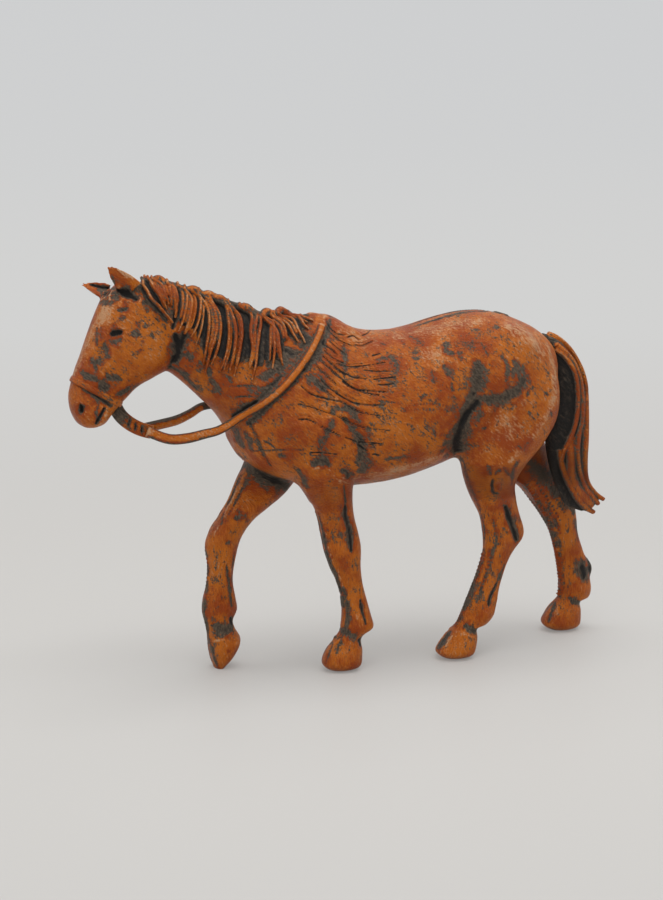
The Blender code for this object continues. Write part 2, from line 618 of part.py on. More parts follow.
# Mane: a strip that follows the crest and the near side of the neck, with a ridge for each lock.
fore_trees = [tree_of(leg_forms[name]) for name in ("left_fore_leg", "right_fore_leg")]
coat_trees = [trunk_tree, head_tree, *fore_trees]
columns = np.linspace(MANE_START_SHARE, MANE_END_SHARE, MANE_COLUMNS)
fine_trunk = rings_of(TRUNK_SHARES, BARREL_WIDTH, None, BODY_SIDES, 8, TRUNK_SQUARENESS)
fall = np.interp(columns, np.linspace(MANE_START_SHARE, MANE_END_SHARE, len(MANE_FALL_SHARES)), MANE_FALL_SHARES)
inner, outer = [], []
for number, (column, turns) in enumerate(zip(columns, fall)):
    ring = fine_trunk[int(column * (len(fine_trunk) - 1))]
    middle = ring.mean(axis=0)
    upward = ring[0] - middle
    upward /= np.linalg.norm(upward)
    ridge = np.sin(np.pi * MANE_LOCKS * number / (MANE_COLUMNS - 1)) ** 2
    for row in np.linspace(MANE_OVER_SHARE, -turns, MANE_ROWS):
        angle = 2 * np.pi * row
        outward = np.cos(angle) * upward + np.sin(angle) * np.array((0.0, 1.0, 0.0))
        place = first_hit(coat_trees, middle + FAR * outward, -outward)[0]
        edge = min(1.0, (row + turns) / (MANE_EDGE_SHARE * turns), (MANE_OVER_SHARE - row) / MANE_OVER_SHARE)
        depth = MANE_THICKNESS - MANE_GROOVE * (1 - ridge)
        depth *= MANE_THIN_SHARE + (1 - MANE_THIN_SHARE) * edge
        inner.append(place + CLEARANCE * outward)
        outer.append(place + (CLEARANCE + depth) * outward)
rows = np.concatenate(
    (
        np.array(inner).reshape(MANE_COLUMNS, MANE_ROWS, 3),
        np.array(outer).reshape(MANE_COLUMNS, MANE_ROWS, 3)[:, ::-1],
    ),
    axis=1,
)
mane = loft("mane", rows, horse)

def cord(name, points, radius):
    """A round cord through points, made a mesh."""
    curve = bpy.data.curves.new(name, "CURVE")
    curve.dimensions = "3D"
    curve.bevel_depth = radius
    curve.bevel_resolution = 2
    curve.use_fill_caps = True
    line = curve.splines.new("POLY")
    line.points.add(len(points) - 1)
    for point, place in zip(line.points, points):
        point.co = (*place, 1.0)
    return new_object(name, curve, horse)


# Strap: a flat strap with a twist in it, from the noseband under the chin to the reins.
strap_path = smooth([at(*place) for place in STRAP_SHARES], STRAP_STEPS)
ahead = np.gradient(strap_path, axis=0)
ahead /= np.linalg.norm(ahead, axis=1, keepdims=True)
aside = np.array((0.0, 1.0, 0.0))
strap_rings = []
turn = 2 * np.pi * np.arange(LOCK_SIDES) / LOCK_SIDES
for number, (place, direction) in enumerate(zip(strap_path, ahead)):
    up = np.cross(direction, aside)
    twist = 2 * np.pi * STRAP_TURNS * number / (len(strap_path) - 1)
    flat = np.cos(twist) * aside + np.sin(twist) * up
    thick = np.cross(direction, flat)
    oval = STRAP_WIDTH * np.cos(turn)[:, None] * flat + STRAP_THICKNESS * np.sin(turn)[:, None] * thick
    strap_rings.append(place + oval / 2)
loft("rein_strap", np.array(strap_rings), horse)

# Reins: free from the strap to the neck, then laid on the neck and the shoulder up to the withers.
mane_tree = tree_of(mane)
for name, sign, free in (("left_rein", -1, LEFT_FREE_SHARES), ("right_rein", 1, RIGHT_FREE_SHARES)):
    route = [at(x, z, sign * share * BARREL_WIDTH / 2) for x, z, share in free]
    for place in REIN_LAID_SHARES:
        start = at(*place, sign * FAR)
        spot, normal = first_hit([*coat_trees, mane_tree], start, (0.0, -sign, 0.0))
        route.append(spot + (CLEARANCE + REIN_RADIUS) * normal)
    cord(name, smooth(route, REIN_STEPS), REIN_RADIUS)

for piece in horse.objects:
    is_hair = piece.name in ("mane", "tail")
    is_tack = piece.name in ("noseband", "rein_strap", "left_rein", "right_rein")
    colour = MANE_BROWN if is_hair else TACK_BROWN if is_tack else COAT_BROWN
    paint(piece, piece.name + "_paint", colour, PAINT_ROUGHNESS)
    if piece.type == "MESH":
        round_shading(piece)
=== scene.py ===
"""A toy farm horse, walking, as it looks: dark grey moulded plastic, dry-brushed with brown enamel.

The head points to -X, the horse's left side is the -Y side and the hooves stand on Z = 0. Everything is
in metres. Tables of shares run along the horse in BODY_LENGTH and upwards in WITHERS_HEIGHT. Tables of
pixels are places in the photograph, 663 wide and 900 high, and each is put on the surface seen there.
"""

import bmesh
import bpy
import numpy as np
from mathutils import Matrix, Vector
from mathutils.bvhtree import BVHTree


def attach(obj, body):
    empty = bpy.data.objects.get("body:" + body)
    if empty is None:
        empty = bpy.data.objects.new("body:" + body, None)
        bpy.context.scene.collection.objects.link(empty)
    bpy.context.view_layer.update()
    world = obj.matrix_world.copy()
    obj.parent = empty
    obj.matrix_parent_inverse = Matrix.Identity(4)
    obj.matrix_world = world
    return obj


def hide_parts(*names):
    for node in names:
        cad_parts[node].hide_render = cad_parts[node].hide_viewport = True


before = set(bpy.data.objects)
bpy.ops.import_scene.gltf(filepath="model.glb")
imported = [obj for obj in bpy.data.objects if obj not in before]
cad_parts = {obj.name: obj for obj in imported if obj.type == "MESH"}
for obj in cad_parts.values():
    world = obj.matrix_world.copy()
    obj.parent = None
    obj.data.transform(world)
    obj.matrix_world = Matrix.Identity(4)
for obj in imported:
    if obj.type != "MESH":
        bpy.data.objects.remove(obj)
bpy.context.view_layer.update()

# Camera: where the photograph was taken from, a little in front of the near side and a little above it,
# with a long lens, so that the legs stay nearly parallel.
PHOTO_SIZE = np.array((663, 900))
LENS_MM = 100.0
SENSOR_MM = 36.0
CAMERA_TURN = np.radians(-21.0)
CAMERA_RISE = np.radians(11.0)
CAMERA_DISTANCE = 0.3665
NEAREST_SEEN = 0.01
AIM = np.array((-0.0029, 0.0, 0.03217))


def placed(name, data):
    """A new object in the scene, for a mesh, a lamp or a camera."""
    item = bpy.data.objects.new(name, data)
    bpy.context.scene.collection.objects.link(item)
    return item


def unit(rows):
    """Each row of an array divided by its length."""
    return rows / np.linalg.norm(rows, axis=1, keepdims=True)


backward = np.array(
    (
        np.sin(CAMERA_TURN) * np.cos(CAMERA_RISE),
        -np.cos(CAMERA_TURN) * np.cos(CAMERA_RISE),
        np.sin(CAMERA_RISE),
    )
)
rightward = np.array((np.cos(CAMERA_TURN), np.sin(CAMERA_TURN), 0.0))
upward = np.cross(backward, rightward)
eye = AIM + CAMERA_DISTANCE * backward
camera = placed("camera", bpy.data.cameras.new("camera"))
bpy.context.scene.camera = camera
camera.data.sensor_fit = "VERTICAL"
camera.data.sensor_height = SENSOR_MM
camera.data.lens = LENS_MM
camera.data.clip_start = NEAREST_SEEN
camera.matrix_world = Matrix(
    [(*axes, place) for *axes, place in zip(rightward, upward, backward, eye)] + [(0, 0, 0, 1)]
)


def seen_on(surface, pixels):
    """Where pixels lie on a surface: the first point of it on the line from the eye through each pixel.

    The line runs ahead, plus the pixel's distance from the picture's middle over the focal length in
    pixels. A line that just misses takes the nearest point of the surface instead.
    """
    focal = LENS_MM / SENSOR_MM * PHOTO_SIZE[1]
    offset = (np.array(pixels, float) - PHOTO_SIZE / 2) / focal
    lines = unit(-backward + offset[:, :1] * rightward - offset[:, 1:] * upward)
    hits = [surface.ray_cast(Vector(eye), Vector(line)) for line in lines]
    reach = np.mean([hit[3] for hit in hits if hit[0]] or [CAMERA_DISTANCE])
    near = [surface.find_nearest(Vector(eye + reach * line)) for line in lines]
    return np.array([tuple(hit[0] or beside[0]) for hit, beside in zip(hits, near)])


# Coat: the trunk, neck, head and legs, moulded in soft dark grey plastic and glued up from a head, two
# body halves and four legs. The seams are filled and painted over, so the skin runs on across them. It
# is shaped whole here, as the maker's master is, and then parted where the pieces part.
MM = 0.001
WITHERS_HEIGHT = 0.0520
BODY_LENGTH = 0.0520
BARREL_WIDTH = 0.0200
HEAD_WIDTH = 0.0074
FORE_LEG_WIDTH = 0.0056
HIND_LEG_WIDTH = 0.0058
TRUNK_SQUARENESS = 2.15
HEAD_SQUARENESS = 2.5
LEG_SQUARENESS = 2.2

# Outlines: front or top x and z, back or bottom x and z, and width. The last column says how much fuller
# the section is towards the top, or for a leg how far it stands out.
TRUNK_SHARES = (
    (-0.600, 1.092, -0.600, 0.930, 0.24, 0.00),
    (-0.545, 1.112, -0.540, 0.875, 0.30, 0.00),
    (-0.480, 1.093, -0.490, 0.832, 0.34, -0.05),
    (-0.400, 1.067, -0.443, 0.788, 0.40, -0.10),
    (-0.310, 1.036, -0.400, 0.746, 0.49, -0.15),
    (-0.230, 1.012, -0.369, 0.700, 0.61, -0.18),
    (-0.145, 0.995, -0.340, 0.640, 0.75, -0.18),
    (-0.065, 0.982, -0.280, 0.582, 0.84, -0.16),
    (0.015, 0.962, -0.165, 0.536, 0.90, -0.12),
    (0.085, 0.952, -0.040, 0.519, 0.96, -0.08),
    (0.170, 0.958, 0.100, 0.525, 1.00, -0.05),
    (0.260, 0.980, 0.220, 0.551, 0.99, -0.02),
    (0.350, 0.995, 0.320, 0.584, 0.93, 0.04),
    (0.440, 0.988, 0.420, 0.620, 0.89, 0.08),
    (0.520, 0.960, 0.505, 0.640, 0.79, 0.08),
    (0.577, 0.928, 0.567, 0.680, 0.63, 0.05),
    (0.614, 0.890, 0.607, 0.750, 0.42, 0.00),
    (0.624, 0.850, 0.622, 0.800, 0.20, 0.00),
)
HEAD_SHARES = (
    (-0.672, 1.122, -0.570, 1.116, 0.40, 0.00),
    (-0.714, 1.082, -0.530, 1.055, 0.82, 0.05),
    (-0.740, 1.030, -0.515, 0.960, 0.97, 0.00),
    (-0.760, 0.980, -0.530, 0.890, 1.00, -0.05),
    (-0.779, 0.930, -0.575, 0.862, 0.92, -0.05),
    (-0.796, 0.888, -0.625, 0.836, 0.78, 0.00),
    (-0.808, 0.850, -0.660, 0.803, 0.70, 0.00),
    (-0.814, 0.815, -0.686, 0.778, 0.72, 0.00),
    (-0.809, 0.778, -0.704, 0.758, 0.72, 0.00),
    (-0.793, 0.746, -0.718, 0.742, 0.60, 0.00),
    (-0.773, 0.732, -0.740, 0.731, 0.34, 0.00),
)
LEFT_FORE_SHARES = (
    (-0.086, 0.000, -0.030, 0.000, 0.42, 1.00),
    (-0.105, 0.010, -0.006, 0.008, 0.80, 1.00),
    (-0.113, 0.026, 0.001, 0.022, 0.98, 1.00),
    (-0.103, 0.055, 0.003, 0.055, 0.90, 1.00),
    (-0.079, 0.086, 0.000, 0.084, 0.66, 1.00),
    (-0.068, 0.100, 0.010, 0.100, 0.62, 1.00),
    (-0.059, 0.122, 0.038, 0.118, 0.68, 1.00),
    (-0.054, 0.155, 0.032, 0.150, 0.62, 1.00),
    (-0.056, 0.200, 0.018, 0.200, 0.52, 1.00),
    (-0.066, 0.250, 0.005, 0.250, 0.52, 1.00),
    (-0.089, 0.300, -0.001, 0.300, 0.62, 1.00),
    (-0.106, 0.350, 0.000, 0.350, 0.70, 1.00),
    (-0.117, 0.400, -0.010, 0.400, 0.72, 1.00),
    (-0.128, 0.450, -0.024, 0.450, 0.86, 1.02),
    (-0.151, 0.500, -0.030, 0.500, 1.02, 1.05),
    (-0.190, 0.555, -0.030, 0.550, 1.18, 1.10),
    (-0.240, 0.630, -0.030, 0.610, 1.30, 1.14),
    (-0.270, 0.720, -0.045, 0.690, 1.36, 1.10),
    (-0.240, 0.810, -0.055, 0.790, 1.26, 0.96),
    (-0.180, 0.890, -0.060, 0.870, 0.90, 0.78),
)
RIGHT_FORE_SHARES = (
    (-0.385, -0.008, -0.366, -0.004, 0.42, 1.00),
    (-0.393, 0.020, -0.338, 0.025, 0.74, 1.00),
    (-0.400, 0.050, -0.316, 0.060, 0.94, 1.00),
    (-0.403, 0.078, -0.312, 0.086, 0.90, 1.00),
    (-0.406, 0.106, -0.326, 0.112, 0.68, 1.00),
    (-0.410, 0.130, -0.332, 0.136, 0.62, 1.00),
    (-0.419, 0.165, -0.319, 0.168, 0.66, 1.00),
    (-0.417, 0.200, -0.323, 0.200, 0.60, 1.00),
    (-0.406, 0.250, -0.331, 0.250, 0.52, 1.00),
    (-0.403, 0.300, -0.326, 0.300, 0.62, 1.00),
    (-0.410, 0.350, -0.315, 0.348, 0.70, 1.00),
    (-0.402, 0.385, -0.300, 0.385, 0.74, 1.00),
    (-0.368, 0.436, -0.268, 0.424, 0.84, 1.02),
    (-0.338, 0.482, -0.215, 0.462, 0.98, 1.05),
    (-0.316, 0.530, -0.160, 0.505, 1.14, 1.12),
    (-0.272, 0.620, -0.090, 0.590, 1.30, 1.28),
    (-0.268, 0.720, -0.060, 0.690, 1.36, 1.30),
    (-0.240, 0.810, -0.055, 0.790, 1.26, 1.16),
    (-0.180, 0.890, -0.060, 0.870, 0.90, 0.94),
)
LEFT_HIND_SHARES = (
    (0.268, 0.000, 0.326, 0.000, 0.42, 1.00),
    (0.247, 0.010, 0.346, 0.008, 0.78, 1.00),
    (0.238, 0.026, 0.353, 0.022, 0.98, 1.00),
    (0.260, 0.055, 0.360, 0.058, 0.90, 1.00),
    (0.285, 0.085, 0.359, 0.084, 0.68, 1.00),
    (0.300, 0.100, 0.390, 0.094, 0.66, 1.00),
    (0.311, 0.120, 0.412, 0.118, 0.70, 1.00),
    (0.324, 0.150, 0.421, 0.150, 0.64, 1.00),
    (0.347, 0.200, 0.431, 0.200, 0.54, 1.00),
    (0.366, 0.250, 0.446, 0.250, 0.56, 1.00),
    (0.380, 0.300, 0.468, 0.298, 0.62, 1.00),
    (0.382, 0.335, 0.500, 0.338, 0.70, 1.00),
    (0.378, 0.370, 0.504, 0.368, 0.72, 1.00),
    (0.368, 0.415, 0.489, 0.412, 0.74, 1.00),
    (0.344, 0.460, 0.476, 0.460, 0.86, 1.04),
    (0.324, 0.505, 0.470, 0.508, 1.06, 1.10),
    (0.308, 0.555, 0.500, 0.560, 1.30, 1.14),
    (0.300, 0.630, 0.558, 0.620, 1.48, 1.14),
    (0.318, 0.720, 0.602, 0.700, 1.52, 1.12),
    (0.350, 0.810, 0.604, 0.800, 1.42, 1.02),
    (0.400, 0.890, 0.574, 0.880, 1.00, 0.86),
)
RIGHT_HIND_SHARES = (
    (0.692, 0.000, 0.750, 0.000, 0.42, 1.00),
    (0.670, 0.010, 0.770, 0.008, 0.78, 1.00),
    (0.658, 0.028, 0.778, 0.022, 0.98, 1.00),
    (0.674, 0.055, 0.779, 0.058, 0.90, 1.00),
    (0.697, 0.084, 0.776, 0.084, 0.68, 1.00),
    (0.710, 0.100, 0.806, 0.094, 0.66, 1.00),
    (0.716, 0.125, 0.814, 0.120, 0.70, 1.00),
    (0.716, 0.160, 0.809, 0.155, 0.64, 1.00),
    (0.712, 0.205, 0.800, 0.205, 0.56, 1.00),
    (0.704, 0.250, 0.781, 0.250, 0.56, 1.00),
    (0.688, 0.298, 0.765, 0.300, 0.62, 1.00),
    (0.662, 0.345, 0.760, 0.346, 0.70, 1.00),
    (0.634, 0.384, 0.750, 0.386, 0.72, 1.00),
    (0.600, 0.424, 0.716, 0.428, 0.78, 1.00),
    (0.558, 0.462, 0.692, 0.476, 0.92, 1.00),
    (0.498, 0.510, 0.668, 0.535, 1.12, 1.00),
    (0.420, 0.570, 0.640, 0.610, 1.36, 1.00),
    (0.360, 0.660, 0.615, 0.690, 1.52, 0.98),
    (0.350, 0.760, 0.605, 0.780, 1.50, 0.94),
    (0.360, 0.840, 0.590, 0.840, 1.34, 0.86),
    (0.410, 0.900, 0.560, 0.890, 0.96, 0.76),
)
# A lump of plastic stands out at the back of the right hind cannon, where the runner was cut off.
SPUR_SHARES = (
    (0.799, 0.148, 0.806, 0.148, 0.10, 1.00),
    (0.796, 0.158, 0.812, 0.157, 0.22, 1.00),
    (0.792, 0.175, 0.817, 0.175, 0.28, 1.00),
    (0.788, 0.192, 0.815, 0.192, 0.28, 1.00),
    (0.785, 0.208, 0.804, 0.210, 0.20, 1.00),
    (0.784, 0.220, 0.794, 0.222, 0.10, 1.00),
)
LEGS = {
    "left_fore_leg": (LEFT_FORE_SHARES, FORE_LEG_WIDTH, -0.0042),
    "right_fore_leg": (RIGHT_FORE_SHARES, FORE_LEG_WIDTH, 0.0035),
    "left_hind_leg": (LEFT_HIND_SHARES, HIND_LEG_WIDTH, -0.0042),
    "right_hind_leg": (RIGHT_HIND_SHARES, HIND_LEG_WIDTH, 0.0049),
}


def curve_through(rows, steps):
    """More rows between the rows of a table, on a Catmull-Rom curve: a cubic through b and c, whose slope
    at each is half the way between its two neighbours."""
    rows = np.asarray(rows, float)
    padded = np.vstack((2 * rows[0] - rows[1], rows, 2 * rows[-1] - rows[-2]))
    a, b, c, d = (padded[first : len(rows) - 1 + first, None] for first in range(4))
    t = (np.arange(steps) / steps)[None, :, None]
    cubic = b + 0.5 * t * (c - a + t * (2 * a - 5 * b + 4 * c - d + t * (3 * b - a - 3 * c + d)))
    return np.vstack((cubic.reshape(-1, rows.shape[1]), rows[-1]))


def once_round(count):
    """So many angles at even steps round a whole turn."""
    return 2 * np.pi * np.arange(count) / count


def raised_to(wave, power):
    """A wave's size raised to a power, with its sign kept. A power below 1 makes it squarer."""
    return np.sign(wave) * np.abs(wave) ** power


def limb(table, width, reach, squareness, steps=8, sides=72):
    """A form as rings: at each row of its outline, a superellipse from the front point to the back point.

    Its two axes are the half line between those points times cos, and the half width times sin, each
    raised to 2 / squareness. A form in the middle plane is fuller on one side, and another stands out by
    reach.
    """
    rows = curve_through(table, steps)
    front, back = rows[:, 0:2], rows[:, 2:4]
    turn = once_round(sides)
    along = raised_to(np.cos(turn), 2 / squareness)
    across = raised_to(np.sin(turn), 2 / squareness)
    flat = (front + back)[:, None] / 2 + (front - back)[:, None] / 2 * along[:, None]
    aside = rows[:, 4:5] * width / 2 * across
    aside = aside * (1 + rows[:, 5:] * along) if reach is None else aside + reach * rows[:, 5:]
    return np.stack((flat[..., 0] * BODY_LENGTH, aside, flat[..., 1] * WITHERS_HEIGHT), axis=-1)


def tube(rings):
    """Points and faces of a tube: a face joins each point, the next round its ring, and the same two on
    the next ring. A fan to the ring's middle closes each end."""
    count, sides, _ = rings.shape
    here = np.arange(count * sides).reshape(count, sides)
    beside = np.roll(here, -1, axis=1)
    quads = np.stack((here[:-1], here[1:], beside[1:], beside[:-1]), axis=-1).reshape(-1, 4)
    start = np.stack((here[0], beside[0], np.full(sides, count * sides)), axis=-1)
    end = np.stack((beside[-1], here[-1], np.full(sides, count * sides + 1)), axis=-1)
    points = np.vstack((rings.reshape(-1, 3), rings[0].mean(axis=0), rings[-1].mean(axis=0)))
    return points, quads.tolist() + start.tolist() + end.tolist()


def fused(name, skins, cube):
    """One closed mesh round several skins, remeshed on a grid of cubes of this size."""
    points, faces = [], []
    for skin, skin_faces in skins:
        before = sum(map(len, points))
        faces += [[before + corner for corner in face] for face in skin_faces]
        points.append(skin)
    mesh = bpy.data.meshes.new(name + "_skins")
    mesh.from_pydata(np.concatenate(points).tolist(), [], faces)
    holder = placed(name + "_skins", mesh)
    remesh = holder.modifiers.new("remesh", "REMESH")
    remesh.mode = "VOXEL"
    remesh.voxel_size = cube
    remesh.adaptivity = 0.0
    graph = bpy.context.evaluated_depsgraph_get()
    whole = bpy.data.meshes.new_from_object(holder.evaluated_get(graph))
    whole.name = name
    bpy.data.objects.remove(holder)
    bpy.data.meshes.remove(mesh)
    return whole


def read(items, what, width=3, kind=np.float32):
    """One property of all vertices or edges of a mesh, as an array with a row for each."""
    values = np.empty(len(items) * width, kind)
    items.foreach_get(what, values)
    return values.reshape(-1, width).astype(float if kind is np.float32 else int)


def move_to(mesh, points):
    """Puts a mesh's vertices where the rows of an array say."""
    mesh.vertices.foreach_set("co", points.astype(np.float32).ravel())
    mesh.update()


def relaxed(points, edges, times, share=1.0):
    """Points after each has moved its share of the way to the mean of its neighbours, this many times."""
    count = np.bincount(edges.ravel(), minlength=len(points))[:, None]
    for _ in range(times):
        total = [
            np.bincount(edges[:, 0], axis[edges[:, 1]], len(points))
            + np.bincount(edges[:, 1], axis[edges[:, 0]], len(points))
            for axis in points.T
        ]
        points = points + share * (np.stack(total, axis=1) / count - points)
    return points


def surface_of(mesh):
    """A search tree of a mesh's faces."""
    whole = bmesh.new()
    whole.from_mesh(mesh)
    tree = BVHTree.FromBMesh(whole)
    whole.free()
    return tree


def ear(base, tip, facing, breadth, fold):
    """An ear as rings from base to tip. Its width falls as 1.06 less the way along, to the power 0.75. It
    is folded lengthwise, so its edges stand towards where it faces by the square of their place across."""
    base, tip, facing = (np.array(place, float) for place in (base, tip, facing))
    ahead = (tip - base) / np.linalg.norm(tip - base)
    facing -= facing @ ahead * ahead
    facing /= np.linalg.norm(facing)
    across = np.cross(ahead, facing)
    t = np.linspace(0.0, 1.0, 24)[:, None, None]
    turn = once_round(40)[None, :, None]
    half = breadth / 2 * (1 + 0.15 * np.sin(np.pi * t)) * (1.06 - t) ** 0.75
    side = np.cos(turn)
    depth = 0.30 * np.sin(turn) * np.sqrt(1.06 - t) + fold * side**2
    return base + t * (tip - base) + half * (side * across + depth * facing)


# Marks of the head: radius and height in millimetres, how far the paint is worn away, and pixels. Wear
# above about 1.2 also darkens the bare plastic towards black, as painted shade in creases and hollows,
# and wear below 0 leaves paler paint, some of it a painted highlight.
HEAD_MARKS_PIXELS = (
    # The eye and the bare place under it.
    (0.52, -0.36, 3.2, (112, 334.5), (116, 333.2), (121, 332.2)),
    (0.26, 0.1, 0, (108, 332), (112, 329), (117, 328), (123, 328.5)),
    (0.55, -0.06, 1.05, (110, 341), (115, 341), (121, 338.5)),
    (0.4, 0, 1, (105, 346), (108, 352), (108, 358)),
    # The hollow under the ear, darkened as painted shade, and the bare spots on the forehead and cheek.
    (0.44, -0.4, 2, (118, 291), (125, 293.5), (132, 296), (137, 299)),
    (0.45, -0.15, 1.6, (122, 289), (129, 291)),
    (0.32, 0, 1.1, (124, 301), (126, 306)),
    (0.34, -0.1, 1.4, (119, 310.5), (124, 310), (127, 308)),
    (0.26, 0, 1.1, (121, 316), (125, 317.5)),
    (0.36, -0.05, 1.4, (143, 302), (149, 303.5)),
    (0.26, 0, 0.9, (146, 309), (148, 312)),
    (0.28, 0, 0.95, (136, 322), (139, 326)),
    (0.28, 0, 0.95, (145, 324), (145, 328)),
    (0.42, 0, 1.1, (134, 331), (137, 336)),
    (0.24, 0, 0.9, (141, 340), (143, 342)),
    (0.24, 0, 0.8, (139, 349), (140, 351)),
    (0.24, 0, 0.8, (151, 333), (153, 336)),
    (0.22, 0, 0.9, (162, 316), (168, 322)),
    (0.3, 0, 1, (97, 328), (97, 336), (97, 345)),
    (0.24, 0, 1.1, (101, 327), (101, 340)),
    # The flat front of the face, with a painted highlight where the light catches it, and its edge.
    (0.85, 0, -0.52, (103, 308), (97, 321), (91, 334), (85, 346), (80, 357), (76, 367), (73, 376)),
    (0.75, 0, -0.6, (109, 306), (105, 316), (99, 326)),
    (0.45, 0.1, 0, (113, 306), (110, 320), (100, 336), (92, 351), (85, 363)),
    # The cheek: its round, its bone and its back edge, with painted shade in the crease behind it.
    (3, 0.35, 0, (148, 343), (156, 356)),
    (0.6, 0.12, 0, (120, 344), (113, 354), (107, 366), (103, 376)),
    (0.6, -0.2, 0, (104, 344), (100, 356), (95, 368)),
    (0.45, -0.25, 1.7, (176, 300), (175.5, 315), (173, 328)),
    (0.95, -0.45, 2, (176, 336), (179, 345), (178, 354), (175, 361)),
    (0.75, -0.3, 1.9, (185, 334.5), (182, 344)),
    (0.5, -0.2, 1, (173, 362), (169, 368)),
    # The nose and muzzle either side of the noseband, with painted shade under the band, in the nostril and
    # in the line of the mouth.
    (0.55, -0.1, 1.2, (80, 372), (86, 374), (92, 378), (97, 381)),
    (0.45, 0, 1, (90, 361), (94, 366), (97, 372)),
    (0.4, 0, 1, (96, 362), (102, 364)),
    (0.85, -0.12, 1.3, (101, 385), (107, 388)),
    (0.5, -0.08, 1.15, (108, 377), (114, 378), (121, 380)),
    (0.65, -0.05, 1.15, (118, 394), (124, 393), (129, 388)),
    (0.35, 0, 1, (128, 394), (133, 388), (138, 384)),
    (0.38, -0.12, 1.7, (77, 383), (86, 389), (95, 395), (104, 401), (111, 406)),
    (0.35, 0, 1, (95, 399), (100, 402)),
    (0.4, -0.5, 2.8, (80.5, 406), (81, 409), (81, 412)),
    (0.3, 0.06, 0, (77, 401), (75.5, 407), (76, 414)),
    (0.25, -0.36, 2.4, (104.5, 408.5), (102, 414), (99, 419), (96, 424)),
    (0.45, 0.12, 0, (107, 413), (104, 419), (100, 424)),
    (0.22, 0, 1.2, (69, 385), (67, 396), (69, 408), (73, 418)),
    # The forehead hair and the ears.
    (0.8, -0.05, 1.15, (103, 297), (108, 294), (114, 294), (117, 299)),
    (0.6, -0.05, 1.1, (99, 290), (103, 288), (109, 288), (114, 288)),
    (0.5, 0, 1.1, (101, 302), (107, 302), (113, 302)),
    (0.2, -0.15, 2.4, (109.5, 291), (107.5, 294), (106, 298)),
    (0.18, 0.22, -0.8, (105, 290), (103, 296), (101, 301)),
    (0.18, 0.22, -0.8, (112, 291), (110, 296), (110, 301)),
    (0.24, -0.25, 2.4, (91, 284.5), (97, 286), (104, 287), (110, 287)),
    (0.22, 0, 1.5, (112, 275), (113.5, 280), (115, 285)),
    (0.25, 0, -0.9, (118, 270), (124, 274), (131, 277)),
)

